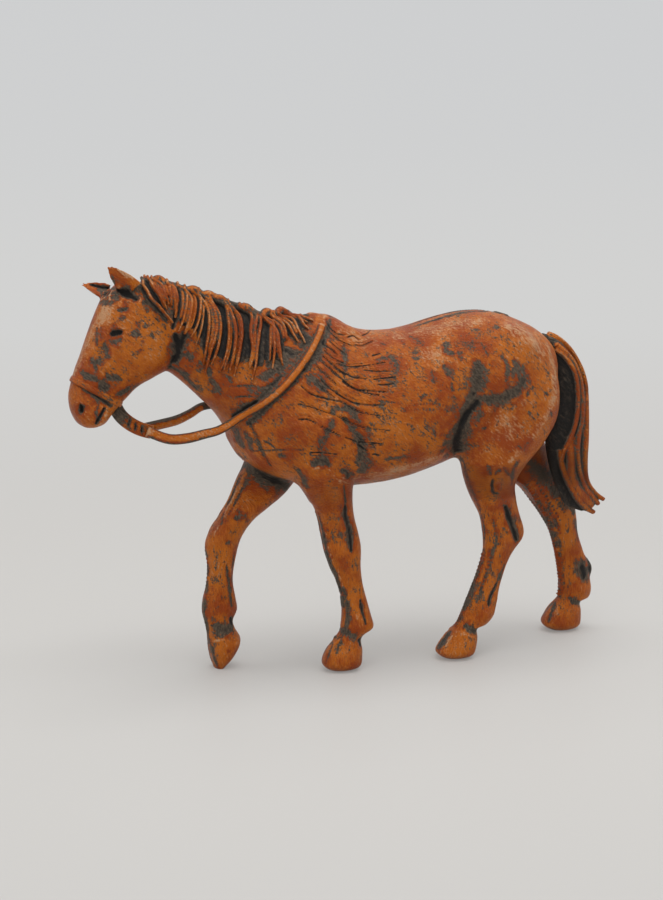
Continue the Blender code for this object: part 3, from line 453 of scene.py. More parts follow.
# Marks of the neck and the trunk, written as those of the head.
TRUNK_MARKS_PIXELS = (
    # Neck: the bare places by the throat.
    (0.65, -0.08, 1.1, (185, 355), (193, 357)),
    (0.55, -0.08, 1.2, (171, 367), (180, 372), (188, 380), (196, 389)),
    (0.45, 0, 1, (206, 366), (210, 374)),
    (0.6, 0, 1.05, (213, 380), (217, 388), (220, 394)),
    (0.35, 0, 0.9, (199, 362), (203, 369)),
    (0.4, 0, 0.9, (226, 376), (232, 383)),
    (0.14, -0.1, 1.6, (230, 386), (244, 386), (258, 386)),
    (0.14, -0.1, 1.7, (236, 397), (246, 396.5), (258, 397)),
    (0.14, -0.08, 1.3, (262, 388), (270, 385), (276, 382)),
    (0.75, 0, 0.8, (248, 391), (260, 391), (272, 388)),
    # Neck: above the rein, with a painted shade along the rein's top edge.
    (0.6, -0.28, 2.1, (233, 417), (240, 413), (248, 408), (256, 402)),
    (0.5, -0.12, 1.4, (258, 400), (266, 392), (274, 384), (281, 376)),
    (0.85, -0.05, 1.3, (264, 378), (272, 373), (281, 368), (289, 362)),
    (0.8, -0.05, 1.3, (268, 366), (276, 361), (285, 357), (293, 354)),
    (0.8, -0.08, 1.8, (286, 350), (293, 354), (299, 352)),
    (0.9, -0.08, 1.7, (303, 333), (307, 340), (301, 347)),
    (0.45, 0, 1.2, (290, 368), (298, 358), (306, 348), (314, 335)),
    # Shade below the rein.
    (0.5, -0.1, 1.5, (247, 424), (256, 417), (266, 408), (276, 399)),
    (0.42, -0.1, 1.4, (279, 396), (288, 388), (296, 379), (304, 369)),
    (0.62, -0.12, 1.3, (304, 370), (312, 360), (319, 350), (324, 340)),
    (0.5, -0.12, 1.3, (323, 343), (327, 333), (329, 322)),
    # Chest.
    (1.4, 0.22, 0, (227, 437), (234, 447), (243, 458)),
    (1, 0, 0.85, (234, 428), (239, 438), (243, 446)),
    (0.6, 0, 0.9, (244, 432), (249, 440), (251, 450)),
    (0.5, 0, 0.7, (240, 453), (247, 460)),
    (0.5, -0.25, 0.4, (250, 425), (257, 440), (263, 455), (270, 466)),
    (0.13, -0.1, 1.5, (264, 441), (270, 444), (275, 448)),
    (0.13, -0.1, 1.6, (251, 451), (262, 451), (275, 450), (288, 450), (303, 450)),
    (0.4, 0, 0.9, (280, 455), (286, 457)),
    (0.6, 0, 1, (298, 470), (303, 476), (304, 485)),
    (0.5, -0.08, 1.1, (312, 463), (318, 462), (325, 463), (329, 466)),
    (0.6, 0, 1, (322, 452), (322, 460), (323, 467)),
    # Shoulder: its muscles, the hollow behind it and bare patches.
    (2.6, 0.35, 0, (325, 425), (338, 445)),
    (2, 0.3, 0, (300, 425), (310, 440)),
    (0.9, -0.3, 0.2, (345, 420), (355, 432), (360, 447), (360, 460)),
    (0.42, 0, 1.15, (344, 345), (345, 356), (345, 370)),
    (0.85, -0.05, 1.1, (311, 378), (318, 384), (325, 389)),
    (0.6, 0, 1, (318, 374), (324, 380)),
    (0.8, -0.08, 1.15, (345, 409), (352, 413), (358, 420)),
    (0.45, 0, 1, (351, 429), (356, 428)),
    (0.9, -0.05, 1.2, (357, 434), (361, 441), (364, 450)),
    (0.9, -0.05, 1.2, (363, 454), (366, 462), (361, 471)),
    (0.6, 0, 1.1, (333, 421), (327, 431), (324, 440), (322, 446)),
    (0.6, 0, 1, (345, 470), (352, 478)),
    (0.4, 0, 0.9, (336, 408), (331, 412)),
    # Barrel: bare spots and fine lines.
    (0.45, 0, 1, (394, 358), (396, 365), (398, 372)),
    (0.32, 0, 0.95, (376, 360), (384, 358), (391, 357)),
    (0.3, 0, 0.9, (380, 343), (386, 345)),
    (0.42, 0, 1, (410, 336), (417, 340), (423, 345)),
    (0.3, 0, 0.9, (413, 352), (418, 353)),
    (0.3, 0, 0.85, (413, 358), (418, 359)),
    (0.48, 0, 1.15, (446, 343), (447, 350), (453, 354)),
    (0.35, 0, 1, (458, 351), (461, 360)),
    (0.55, 0, 1.1, (444, 366), (449, 370), (448, 374)),
    (0.32, 0, 0.9, (432, 371), (433, 379)),
    (0.26, 0, 0.9, (421, 400), (424, 395)),
    (0.28, 0, 0.9, (452, 407), (455, 409)),
    (0.26, 0, 0.9, (451, 384), (453, 391)),
    (0.26, 0, 0.8, (400, 340), (404, 344)),
    (0.24, 0, 0.9, (427, 426), (433, 430), (436, 437)),
    (0.24, 0, 1.1, (386, 459), (393, 458), (400, 457), (408, 456), (417, 459)),
    (0.3, 0, 0.8, (407, 409), (404, 411)),
    (0.12, -0.06, 0.9, (412, 405), (430, 404), (450, 406)),
    (0.12, -0.06, 0.8, (412, 409), (430, 410), (452, 410)),
    (0.12, -0.06, 0.8, (376, 402), (390, 402), (402, 404)),
    # A painted reflection of the floor along the belly's lower edge.
    (0.55, 0, -0.6, (405, 467), (425, 461), (448, 452)),
    # Flank: the deep fold in front of the thigh, darkened with painted shade.
    (1.35, -0.15, 1.35, (478.5, 364), (479, 372), (477.5, 384), (475, 394)),
    (1.75, -0.15, 1.35, (474, 396), (470, 406), (468, 416), (464, 427), (460, 438), (455, 449)),
    (0.95, -0.3, 2.25, (478, 402), (474, 409), (469, 416), (465, 424)),
    (1.5, -0.32, 2.2, (470, 415), (465, 423), (461, 432), (458, 442), (457, 451)),
    (0.45, 0, 1.3, (480, 405), (480, 412), (478.5, 420)),
    (0.6, 0, 1.1, (450, 446), (440, 453)),
    (1.2, 0.28, 0, (489, 408), (482, 424), (476, 440)),
    # Thigh and rump.
    (3.2, 0.45, 0, (500, 380), (520, 400)),
    (1.1, -0.1, 1.3, (481, 398), (491, 399), (501, 397.5), (509, 393.5), (517, 388), (523, 381)),
    (0.6, 0, 1.1, (519, 386), (523, 378), (522, 368)),
    (0.42, 0, 1.2, (502, 356), (506, 363), (507, 371), (505, 380)),
    (0.55, 0, 1.2, (514, 362), (517, 368), (519, 377), (521, 384)),
    (0.4, 0, 1.1, (513, 368), (512, 377)),
    (0.28, 0, 0.9, (528, 390), (526, 396)),
    (0.26, 0, 0.9, (545, 394), (549, 395)),
    (0.28, 0, 0.9, (528, 412), (530, 414)),
    (0.3, 0, 0.9, (472, 342), (474, 345)),
    (0.26, 0, 0.9, (475, 329), (480, 330)),
    (0.24, 0, 0.9, (495, 325), (497, 328)),
    (0.36, 0, 1, (550, 411), (552, 417)),
    (0.4, 0, 1.1, (518, 446), (523, 448), (527, 443), (532, 440)),
    (0.3, 0, 0.9, (482, 427), (486, 428)),
    # Painted highlights on the back of the rump and thigh, the top of the rump, the back and the barrel, and
    # a painted reflection of the floor along the belly's lower edge.
    (1.2, 0, -0.6, (548, 345), (553, 362), (555, 380), (555, 396), (550, 410)),
    (0.9, 0.12, -0.55, (549, 411), (541, 424), (531, 438), (520, 450), (510, 461)),
    (2.4, 0, -0.55, (512, 332), (528, 338), (541, 352)),
    (1.8, 0, -0.5, (395, 338), (420, 332), (450, 325), (480, 322)),
    (1.5, 0, -0.4, (340, 332), (360, 340), (380, 342)),
    (1.6, 0, -0.5, (423, 352), (440, 356)),
    (0.9, 0, -0.8, (340, 480), (365, 477), (395, 471), (420, 463), (440, 456)),
    # The top of the rump, raised, with a painted highlight, and a painted highlight on the thigh. The far
    # edge of the back, which the brush missed.
    (2.1, 0.62, -0.3, (515, 318), (527, 321.5), (538, 327.5), (548, 334.5)),
    (4, 0, -0.6, (497, 418), (512, 432)),
    (0.8, 0, 2.6, (588, 557), (590.5, 563), (589.5, 570)),
    (2.4, 0, 0.28, (458, 345), (475, 344), (488, 351)),
    (2, 0, 0.28, (392, 360), (392, 385), (385, 402)),
    (2.4, 0.62, 0, (310, 319.5), (320, 321.5), (331, 324.5), (342, 329.5), (351, 332)),
    (0.26, 0.1, 2.8, (416, 326), (430, 321.5), (445, 317), (460, 313), (476, 311.3), (492, 311.5)),
    (0.32, 0.2, 2.4, (496, 312.5), (502, 312.7), (508, 314.5)),
)

# Marks of the left fore leg.
LEFT_FORE_MARKS_PIXELS = (
    # Groove behind the knee, darkened with painted shade, and the one above the fetlock.
    (0.26, -0.16, 1.2, (344.5, 486), (345.5, 496), (346, 508)),
    (0.6, -0.26, 1.75, (346, 507), (346, 516), (348.5, 526), (350.5, 537), (351.5, 550)),
    (0.28, -0.28, 1.5, (360.5, 600), (362.5, 611), (366, 624)),
    # Bare front edge of the cannon and the pastern, and a paler strip beside it, partly thinner paint and
    # partly a painted highlight.
    (0.32, 0.14, 2.8, (318.5, 514), (322.5, 529), (325.5, 545), (328.5, 558), (333, 569), (337.5, 581),
     (340, 593), (341.5, 607), (339.5, 622), (335, 637)),
    (0.24, 0.06, -0.8, (321, 518), (325.5, 532), (328, 547), (332, 558), (337.5, 570), (341.5, 583),
     (344, 596)),
    (1.1, 0.22, 0, (302, 485), (308, 493), (313, 502)),
    # Knee, fetlock and hoof.
    (0.18, 0, 1.1, (327, 529), (328, 531)),
    (0.2, 0, 1.1, (331, 537), (333, 538)),
    (0.2, 0, 1.1, (339, 531), (341, 535), (342, 537)),
    (1.1, 0.25, 0, (336, 550), (342, 556)),
    (0.6, -0.12, 1.15, (341, 630), (348, 633), (355, 636)),
    (0.4, -0.25, 1.4, (359, 640), (362, 645)),
    (0.9, 0.22, 0, (356, 616), (360, 626)),
    (0.22, -0.06, 1, (333, 643), (329, 654), (325, 664)),
    (0.2, -0.05, 0.9, (339, 643), (336, 655)),
    (0.3, 0.12, 0, (336, 640), (345, 641), (354, 645)),
    (0.5, 0, 0.9, (303, 478), (307, 488)),
    # Top of the leg, where it comes out of the body.
    (0.6, -0.1, 1.05, (313, 466), (320, 462), (327, 460), (329, 467)),
    (0.3, 0.12, -0.3, (313, 469), (321, 468), (328, 468.5), (335, 477), (341, 484)),
    (0.55, -0.12, 1, (342, 470), (347, 473), (348, 478)),
    (0.8, 0.18, 0, (320, 478), (326, 500)),
)

# Marks of the left hind leg.
LEFT_HIND_MARKS_PIXELS = (
    # Hollow before the hock tendon, darkened with painted shade, and the grooves below.
    (0.62, -0.34, 1.9, (506, 508), (511, 520), (515, 531), (517.5, 540)),
    (0.62, -0.05, 1.2, (507, 506), (511, 520), (515, 534), (516, 542)),
    (0.45, -0.05, 0.9, (502, 506), (507, 506)),
    (0.3, 0.2, 0, (503, 514), (507, 525), (511, 535)),
    (0.26, -0.22, 1.3, (497.5, 582), (493, 592), (490, 599), (489, 606)),
    (0.26, -0.05, 1.2, (504.5, 565), (501, 574), (498, 581)),
    # Bare front edge of the shank and the cannon.
    (0.3, 0, 0.9, (459, 459), (466, 478), (471.5, 495)),
    (0.42, 0, 1, (481.5, 516), (484, 528), (484, 543)),
    (0.3, 0.2, 2.6, (483, 550), (476.5, 574), (469.5, 592), (462.5, 610), (456, 626)),
    (0.3, 0.05, 0.8, (485, 552), (479, 575), (472, 593), (466, 608)),
    # Callus inside the leg, hock and fetlock.
    (0.5, 0.25, 0.5, (497.5, 481), (498, 489)),
    (0.2, -0.12, 1.5, (493, 479), (492, 485), (493, 492), (498, 494)),
    (0.36, -0.03, 1.3, (487, 465), (489, 470), (491, 475)),
    (0.28, -0.03, 1.2, (495, 475), (498, 471), (501, 471)),
    (0.3, -0.03, 1.3, (504, 468), (509, 475)),
    (0.36, 0, 1.2, (519, 461), (513, 471), (512, 484)),
    (0.4, 0, 0.9, (463, 462), (468, 480), (474, 495), (480, 510)),
    (0.4, 0, 0.8, (492, 550), (490, 557)),
    (0.35, -0.08, 0.7, (493, 520), (496, 540), (490, 562), (483, 584), (477, 602)),
    (1, 0.22, 0, (505, 540), (500, 548)),
    (0.8, 0.22, 0, (485, 612), (488, 618)),
    (0.5, -0.12, 1.2, (465, 626), (470, 629), (475, 631)),
    (0.34, -0.05, 1.8, (450.5, 632), (444, 641), (438.5, 649)),
    (0.28, 0.12, -0.5, (452, 636), (446, 646)),
    (0.3, 0.12, 0, (456, 632), (464, 634), (473, 637)),
)

# Marks of the right hind leg.
RIGHT_HIND_MARKS_PIXELS = (
    # Bare front edge from the stifle down.
    (0.46, 0.4, 1.7, (516, 478), (529, 488), (538.5, 504), (548, 520), (555, 537), (558.5, 554),
     (560, 573), (559.5, 594)),
    (0.35, 0, 0.8, (545, 500), (553, 516), (560, 533)),
    # Thigh in the shade of the tail.
    (1.3, 0, 1.2, (530, 462), (540, 472), (550, 484), (558, 496)),
    (0.9, 0, 1.5, (556, 470), (562, 490), (570, 505), (574, 511)),
    (0.5, 0, 1, (575, 520), (577, 532), (578, 540)),
    (0.22, -0.08, 1.1, (535, 480), (548, 500), (560, 520)),
    (0.22, -0.08, 1.1, (545, 478), (556, 497), (566, 515)),
    # Spur at the back, fetlock and hoof.
    (0.26, -0.1, 1.2, (570, 597), (573, 604)),
    (0.45, -0.1, 1.1, (573, 600), (577, 603)),
    (0.34, -0.05, 1.8, (554.5, 603), (551, 614), (548.5, 622)),
    (0.28, 0.1, -0.4, (558, 606), (555, 618)),
    (0.8, 0.2, 0, (580, 588), (584, 592)),
)

# Marks of the right fore leg.
RIGHT_FORE_MARKS_PIXELS = (
    # Painted shade at the inner elbow, under the chest, and the bare front of the forearm.
    (1.2, 0, 1.7, (260, 474), (270, 478), (280, 484), (287, 488)),
    (1, 0, 1.5, (256, 470), (262, 482)),
    (0.6, 0, 1, (250, 465), (248, 478), (244, 488)),
    (0.22, -0.1, 1.4, (241, 476), (233, 492), (226, 506)),
    (0.22, -0.1, 1.2, (246, 480), (238, 497), (229, 514)),
    (0.25, 0.1, -0.6, (236, 492), (228, 508), (220, 524), (214, 536)),
    (0.24, -0.08, 1, (224, 512), (221, 524)),
    (0.6, 0, 1, (238, 510), (241, 515), (237, 519)),
    (0.3, 0, 0.6, (247, 519), (248, 522)),
    (0.3, 0, 1, (228, 541), (229, 543)),
    # Grooves of the cannon and its dark edges.
    (0.28, -0.15, 1.15, (226.5, 566), (228.5, 578), (230.5, 593), (231, 606)),
    (0.22, -0.05, 1, (234, 553), (232.5, 570), (232, 585)),
    (0.34, 0.12, 1.9, (206, 548), (208, 570), (206, 593), (204, 608), (205.5, 620), (209.5, 639),
     (214, 658), (218, 667)),
    # Fetlock and hoof.
    (0.8, -0.08, 1.3, (214, 626), (222, 629), (230, 628)),
    (0.42, -0.3, 1.7, (231, 618), (232.5, 624)),
    (0.4, 0, 1, (215, 633), (222, 637)),
    (0.3, 0, 0.7, (228, 650), (229, 652)),
    (1, 0.2, 0, (222, 530), (222, 540)),
    (0.8, 0.22, 0, (224, 606), (229, 610)),
    (0.3, 0.15, 0, (213, 641), (222, 640), (232, 633)),
)

# Engraved strokes of the coat behind the shoulder, over the flank and on the thigh.
HAIR_STROKES_PIXELS = (
    ((326, 326), (331, 331), (337, 335), (342, 336)),
    ((327, 330), (334, 337), (342, 342), (350, 345)),
    ((348, 339), (352, 338), (357, 340)),
    ((363, 336), (367, 334), (370, 331)),
    ((356, 345), (363, 345), (370, 342)),
    ((325, 345), (331, 349), (336, 353)),
    ((331, 342), (338, 348), (344, 352)),
    ((373, 355), (376, 354), (379, 353)),
    ((338, 364), (345, 366), (352, 366.5), (360, 366), (368, 365), (380, 363)),
    ((341, 372), (347, 375), (354, 378), (363, 379)),
    ((376, 379), (384, 378), (393, 377)),
    ((344, 380), (349, 384), (356, 388), (364, 390), (380, 391)),
    ((344, 384), (350, 388), (357, 391)),
    ((363, 392), (369, 393), (376, 394)),
    ((338, 394), (346, 398), (352, 401), (360, 403), (370, 404), (380, 404)),
    ((340, 401), (347, 405), (355, 410), (364, 413), (377, 415)),
    ((322, 380), (328, 386), (335, 391), (342, 396)),
    ((318, 384), (325, 390), (332, 395)),
    ((303, 389), (310, 395), (318, 398), (326, 400), (334, 402)),
    ((300, 404), (308, 406), (317, 409), (326, 412)),
    ((332, 414), (340, 418), (349, 422), (358, 426), (368, 428), (382, 430)),
    ((300, 419), (307, 419), (313, 421)),
    ((322, 427), (330, 431), (337, 434)),
    ((346, 438), (351, 440), (355, 442)),
    ((362, 443), (372, 443), (380, 444)),
    ((359, 445), (363, 448), (366, 450)),
    ((373, 455), (376, 455), (379, 456)),
    ((312, 452), (320, 452), (332, 453)),
    ((324, 357), (330, 362), (337, 368), (343, 373)),
    ((321, 362), (328, 368), (334, 374)),
    ((326, 352), (332, 357), (340, 361)),
    ((318, 368), (326, 375), (334, 382)),
    ((331, 368), (338, 375), (346, 382)),
    ((380, 384), (386, 384), (392, 383)),
    ((366, 370), (374, 371), (384, 371)),
)

# Painted locks of the mane, each from the crest to its tip, from the poll to the withers.
MANE_LOCKS_PIXELS = (
    ((141, 287), (145.5, 292), (149.7, 299.8), (157.9, 308.1), (166.2, 316.3), (172.5, 323)),
    ((144.5, 283), (150.5, 288.5), (156.7, 296.3), (163.8, 306.9)),
    ((148, 281), (154.8, 290.4), (160.3, 299.8), (166.2, 309.3)),
    ((152, 278.6), (159, 286.9), (165, 296.3), (168.5, 304.5)),
    ((158, 277), (165, 285.7), (169.7, 295), (171, 305.7)),
    ((163.5, 273), (169.7, 287), (173.2, 300), (174.4, 309)),
    ((168, 280), (173, 291), (176, 303), (175, 318)),
    ((179, 282.5), (184, 294), (185, 307), (182.5, 320), (178, 331)),
    ((185.7, 286), (189.7, 300), (189, 316), (184, 334)),
    ((193, 287), (198, 300), (199, 312), (196.5, 325), (191, 337)),
    ((198.3, 288), (205.2, 307.9), (208, 321.7), (207.5, 333.2), (205.2, 351.5), (203, 365)),
    ((201, 286.5), (207.5, 294), (211, 308), (215.5, 324), (214.4, 337), (210, 351.5), (205, 373)),
    ((211, 292), (216.7, 313.7), (219.5, 326.3), (218.4, 342.4), (215.5, 353.8), (211, 365)),
    ((217.5, 293), (223.5, 308), (227, 322), (228, 335.5), (226.4, 351.5), (222.4, 365), (220, 372)),
    ((226, 298), (229.3, 313.7), (234.5, 331), (234.5, 344.7), (232.7, 357), (229.3, 372)),
    ((230, 298), (237.3, 317), (240.8, 331), (239.6, 347), (237.3, 362), (234, 376)),
    ((242, 301), (249.4, 317), (249.4, 333), (252, 349), (249.4, 365)),
    ((247, 300), (253.4, 313.7), (254, 331), (253.4, 347), (251.7, 362), (249.4, 368)),
    ((250, 301.5), (258, 319.4), (258, 335.5), (256.3, 351.5), (255.7, 365), (252, 380)),
    ((264.9, 311), (270.6, 324), (273, 338), (274, 351.5), (272.3, 369)),
    ((267, 311), (275, 332), (278.6, 347), (281, 359.6), (283, 366)),
    ((273, 309.5), (281, 326), (287, 340)),
    ((276, 308), (285.5, 326), (292.4, 335.5), (298, 342.4)),
    ((280, 307.5), (290, 321.7), (298, 333), (305, 343.5)),
    ((284, 308.5), (294.7, 319.4), (303, 326.3), (308.5, 330)),
    ((289, 310.5), (300.5, 317), (313, 324)),
    ((296, 311), (306, 316), (316, 319)),
)

SKIN_CUBE = 0.178 * MM
forms = {
    "trunk": tube(limb(TRUNK_SHARES, BARREL_WIDTH, None, TRUNK_SQUARENESS, sides=160)),
    "head": tube(limb(HEAD_SHARES, HEAD_WIDTH, None, HEAD_SQUARENESS, sides=120)),
}
for name, (table, width, reach) in LEGS.items():
    forms[name] = tube(limb(table, width, reach, LEG_SQUARENESS))
forms["spur"] = tube(limb(SPUR_SHARES, HIND_LEG_WIDTH, LEGS["right_hind_leg"][2], LEG_SQUARENESS))
# Ears: base and tip in metres, the way each faces, its width, and how deep it is folded.
EARS = (
    ((-0.0336, -0.0019, 0.0573), (-0.0370, -0.0020, 0.0611), (-0.45, -0.88, 0.15), 0.0037, 0.22),
    ((-0.0356, 0.0021, 0.0563), (-0.0400, 0.0020, 0.0582), (-0.35, -0.60, 0.70), 0.0031, 0.30),
)
coat = fused("coat", [*forms.values(), *(tube(ear(*shape)) for shape in EARS)], SKIN_CUBE)
edges = read(coat.edges, "vertices", 2, np.int32)
skin = read(coat.vertices, "co")

# The joins of the legs and the neck are filled and rubbed smooth. The head, the hooves and the ears
# keep their edges.
RUBBED_ROUNDS = 80
RUBBED_SHARE = 0.9
LEAST_RUBBED = 0.04
RUBBED_ABOVE = 0.50
RUBBED_BEHIND = -0.60
RUBBED_FADE = 0.08
height_share, length_share = skin[:, 2] / WITHERS_HEIGHT, skin[:, 0] / BODY_LENGTH
rubbed = np.clip((height_share - RUBBED_ABOVE) / RUBBED_FADE, LEAST_RUBBED, 1.0)
rubbed = rubbed * np.clip((length_share - RUBBED_BEHIND) / RUBBED_FADE, LEAST_RUBBED, 1.0)
skin = relaxed(skin, edges, RUBBED_ROUNDS, RUBBED_SHARE * rubbed[:, None])
move_to(coat, skin)
outward = read(coat.vertices, "normal")
whole_surface = surface_of(coat)


def form_surface(name):
    """A search tree of one form by itself, for places that another form hides."""
    points, faces = forms[name]
    return BVHTree.FromPolygons(points.tolist(), faces)


# Lift is in metres. Bare and pale have no unit. Ditch is the distance to the nearest engraved stroke, in
# millimetres, which a material reads as a line much finer than the mesh.
DITCH_FAR = 1.0
lift = np.zeros(len(skin))
bare = np.zeros(len(skin))
pale = np.zeros(len(skin))
ditch = np.full(len(skin), DITCH_FAR)


def near_line(path, radius):
    """The skin's points near a path and how far each is from every point of the path."""
    close = ((skin > path.min(axis=0) - 3 * radius) & (skin < path.max(axis=0) + 3 * radius)).all(axis=1)
    close = np.flatnonzero(close)
    return close, np.linalg.norm(skin[close, None] - path, axis=2)


def both_sides(line, middle=0.0):
    """A line on the near side, and the same line mirrored in a middle plane and laid on the skin."""
    mirrored = line * (1, -1, 1) + (0, 2 * middle, 0)
    mirrored = [tuple(whole_surface.find_nearest(Vector(place))[0]) for place in mirrored]
    return line, np.array(mirrored)


def carve(marks, surface, middle=0.0):
    """Works marks into the skin. Height and wear fade by exp(-(distance / radius) squared), the radius
    shrinks to half at both ends, and wear below 0 is paler paint, which some marks use as a painted
    highlight. High wear also takes the bare plastic towards painted shade."""
    for radius, height, wear, *pixels in marks:
        radius *= MM
        for path in both_sides(seen_on(surface, curve_through(pixels, 6)), middle):
            close, gaps = near_line(path, radius)
            width = 0.5 + 0.5 * np.sin(np.linspace(0.0, np.pi, len(path))) ** 0.6
            gaps = (gaps / (radius * width)).min(axis=1)
            fade = np.exp(-((gaps * ragged[close]) ** 2))
            lift[close] += height * MM * np.exp(-(gaps**2))
            bare[close] = np.maximum(bare[close], wear * fade)
            pale[close] = np.maximum(pale[close], -wear * fade)


# Beside a long stroke run two fainter ones: an offset in pixels, a start and an end as shares of it, and
# a strength.
LONG_STROKE_PIXELS = 18
MAIN_STROKE = (0.0, 0.0, 1.0, 1.0)
BESIDE_STROKES = ((-2.4, 0.1, 0.75, 0.55), (2.2, 0.3, 0.95, 0.5))
STROKE_STRAY_PIXELS = 0.5
STROKE_RADIUS = 0.14 * MM
STROKE_DEPTH = 0.11 * MM
DITCH_INSET = 0.03
FAINT_DITCH_INSET = 0.10
# A stroke starts before its first pixel and ends past its last one, by these shares of the step there.
RUN_IN = 0.3
RUN_OUT = 0.5


def engrave(strokes, surface):
    """Cuts strokes that thin out at both ends, by the root of the sine of the way along them."""
    for pixels in strokes:
        pixels = np.array(pixels, float)
        first = pixels[0] - RUN_IN * (pixels[1] - pixels[0])
        last = pixels[-1] + RUN_OUT * (pixels[-1] - pixels[-2])
        whole_stroke = curve_through(np.vstack((first, pixels, last)), 8)
        long = np.linalg.norm(last - first) > LONG_STROKE_PIXELS
        count = len(whole_stroke)
        for aside, start, end, strength in (MAIN_STROKE, *(BESIDE_STROKES if long else ())):
            share = whole_stroke[int(start * count) : max(int(end * count), int(start * count) + 3)]
            share = share + (0.0, aside + chance.normal(0.0, STROKE_STRAY_PIXELS))
            for path in both_sides(seen_on(surface, share)):
                close, gaps = near_line(path, DITCH_FAR * MM / 2)
                way = np.linspace(0.0, np.pi, len(path))
                gaps = (gaps / np.sqrt(0.25 + 0.75 * np.sin(way))).min(axis=1)
                lift[close] -= strength * STROKE_DEPTH * np.exp(-((gaps / STROKE_RADIUS) ** 2))
                inset = DITCH_INSET + FAINT_DITCH_INSET * (1 - strength)
                ditch[close] = np.minimum(ditch[close], gaps / MM + inset)


# Random numbers for every vertex, relaxed until they change over half a millimetre or a whole one.
MARK_RAGGEDNESS = 0.36
LUMP_HEIGHT = 0.014 * MM
chance = np.random.default_rng(7)
ragged, lumps = (relaxed(chance.normal(size=(len(skin), 1)), edges, times)[:, 0] for times in (6, 24))
ragged = np.exp(MARK_RAGGEDNESS * ragged / ragged.std())
lumps /= lumps.std()

carve(HEAD_MARKS_PIXELS, whole_surface)
carve(TRUNK_MARKS_PIXELS, whole_surface)
for leg, marks in (
    ("left_fore_leg", LEFT_FORE_MARKS_PIXELS),
    ("left_hind_leg", LEFT_HIND_MARKS_PIXELS),
    ("right_hind_leg", RIGHT_HIND_MARKS_PIXELS),
    ("right_fore_leg", RIGHT_FORE_MARKS_PIXELS),
):
    carve(marks, form_surface(leg), LEGS[leg][2])
engrave(HAIR_STROKES_PIXELS, whole_surface)

# Under the mane the neck stays unpainted, which also serves as painted shade between the locks, and the
# hand-cut master has soft lumps everywhere. Its carving is softened a little, and the soles stay flat.
MANE_SHADE = 0.7 * MM
MANE_SHADE_BARENESS = 1.3
SOFTENED_SHARE = 0.3
mane_paths = [curve_through(seen_on(whole_surface, lock), 8) for lock in MANE_LOCKS_PIXELS]
for path in mane_paths:
    close, gaps = near_line(path[: len(path) * 3 // 4], MANE_SHADE)
    fade = np.exp(-((gaps.min(axis=1) * ragged[close] / MANE_SHADE) ** 2))
    bare[close] = np.maximum(bare[close], MANE_SHADE_BARENESS * fade)
skin = skin + (lift + LUMP_HEIGHT * lumps)[:, None] * outward
skin = relaxed(skin, edges, 1, SOFTENED_SHARE)
skin[:, 2] = np.maximum(skin[:, 2], 0.0)
move_to(coat, skin)


def store_marks(mesh, bare, rounds, pale=0.0, ditch=DITCH_FAR):
    """Keeps the numbers that the material reads for each vertex: bare, pale, ditch, hollow and dip.

    The last two say how far the skin, relaxed for a few rounds and for many, lies outside the point, in
    millimetres, less the mean. They are above 0 in a hollow.
    """
    points, outward = read(mesh.vertices, "co"), read(mesh.vertices, "normal")
    edges = read(mesh.edges, "vertices", 2, np.int32)
    marks = {"bare": bare, "pale": pale, "ditch": ditch}
    for what, times in zip(("hollow", "dip"), rounds):
        depth = ((relaxed(points, edges, times) - points) * outward).sum(axis=1) / MM
        marks[what] = depth - depth.mean()
    for what, values in marks.items():
        values = np.full(len(points), values, np.float32)
        mesh.attributes.new(what, "FLOAT", "POINT").data.foreach_set("value", values)


store_marks(coat, bare, (6, 60), pale, ditch)


def cut_out(name, whole, cuts):
    """The part of a closed mesh behind every cut, with a flat face over each. A cut is a place on its
    plane and the direction that it removes."""
    shell = bmesh.new()
    shell.from_mesh(whole)
    for face in shell.faces:
        face.smooth = True
    for place, removed in cuts:
        every = shell.verts[:] + shell.edges[:] + shell.faces[:]
        cut = bmesh.ops.bisect_plane(
            shell, geom=every, dist=1e-8, plane_co=place, plane_no=removed, clear_outer=True
        )
        rim = [part for part in cut["geom_cut"] if isinstance(part, bmesh.types.BMEdge)]
        for part in rim:
            part.smooth = False
        for face in bmesh.ops.holes_fill(shell, edges=rim, sides=0)["faces"]:
            face.smooth = False
    bmesh.ops.recalc_face_normals(shell, faces=shell.faces)
    mesh = bpy.data.meshes.new(name)
    shell.to_mesh(mesh)
    shell.free()
    return placed(name, mesh)


# Where the pieces part. The head's joint leans back from the upright.
LEG_JOINT_SHARE = 0.508
HEAD_JOINT_SHARE = -0.514
GIRTH_SHARE = 0.15
HEAD_JOINT_LEAN = np.radians(5.0)
leg_joint = (0.0, 0.0, LEG_JOINT_SHARE * WITHERS_HEIGHT)
head_joint = (HEAD_JOINT_SHARE * BODY_LENGTH, 0.0, WITHERS_HEIGHT)
behind = (np.cos(HEAD_JOINT_LEAN), 0.0, -np.sin(HEAD_JOINT_LEAN))
before = (-np.cos(HEAD_JOINT_LEAN), 0.0, np.sin(HEAD_JOINT_LEAN))
UP, DOWN, LEFT, RIGHT = (0, 0, 1), (0, 0, -1), (0, -1, 0), (0, 1, 0)
BACK, FRONT, MIDDLE = (1, 0, 0), (-1, 0, 0), (0, 0, 0)
girth = (GIRTH_SHARE * BODY_LENGTH, 0.0, 0.0)
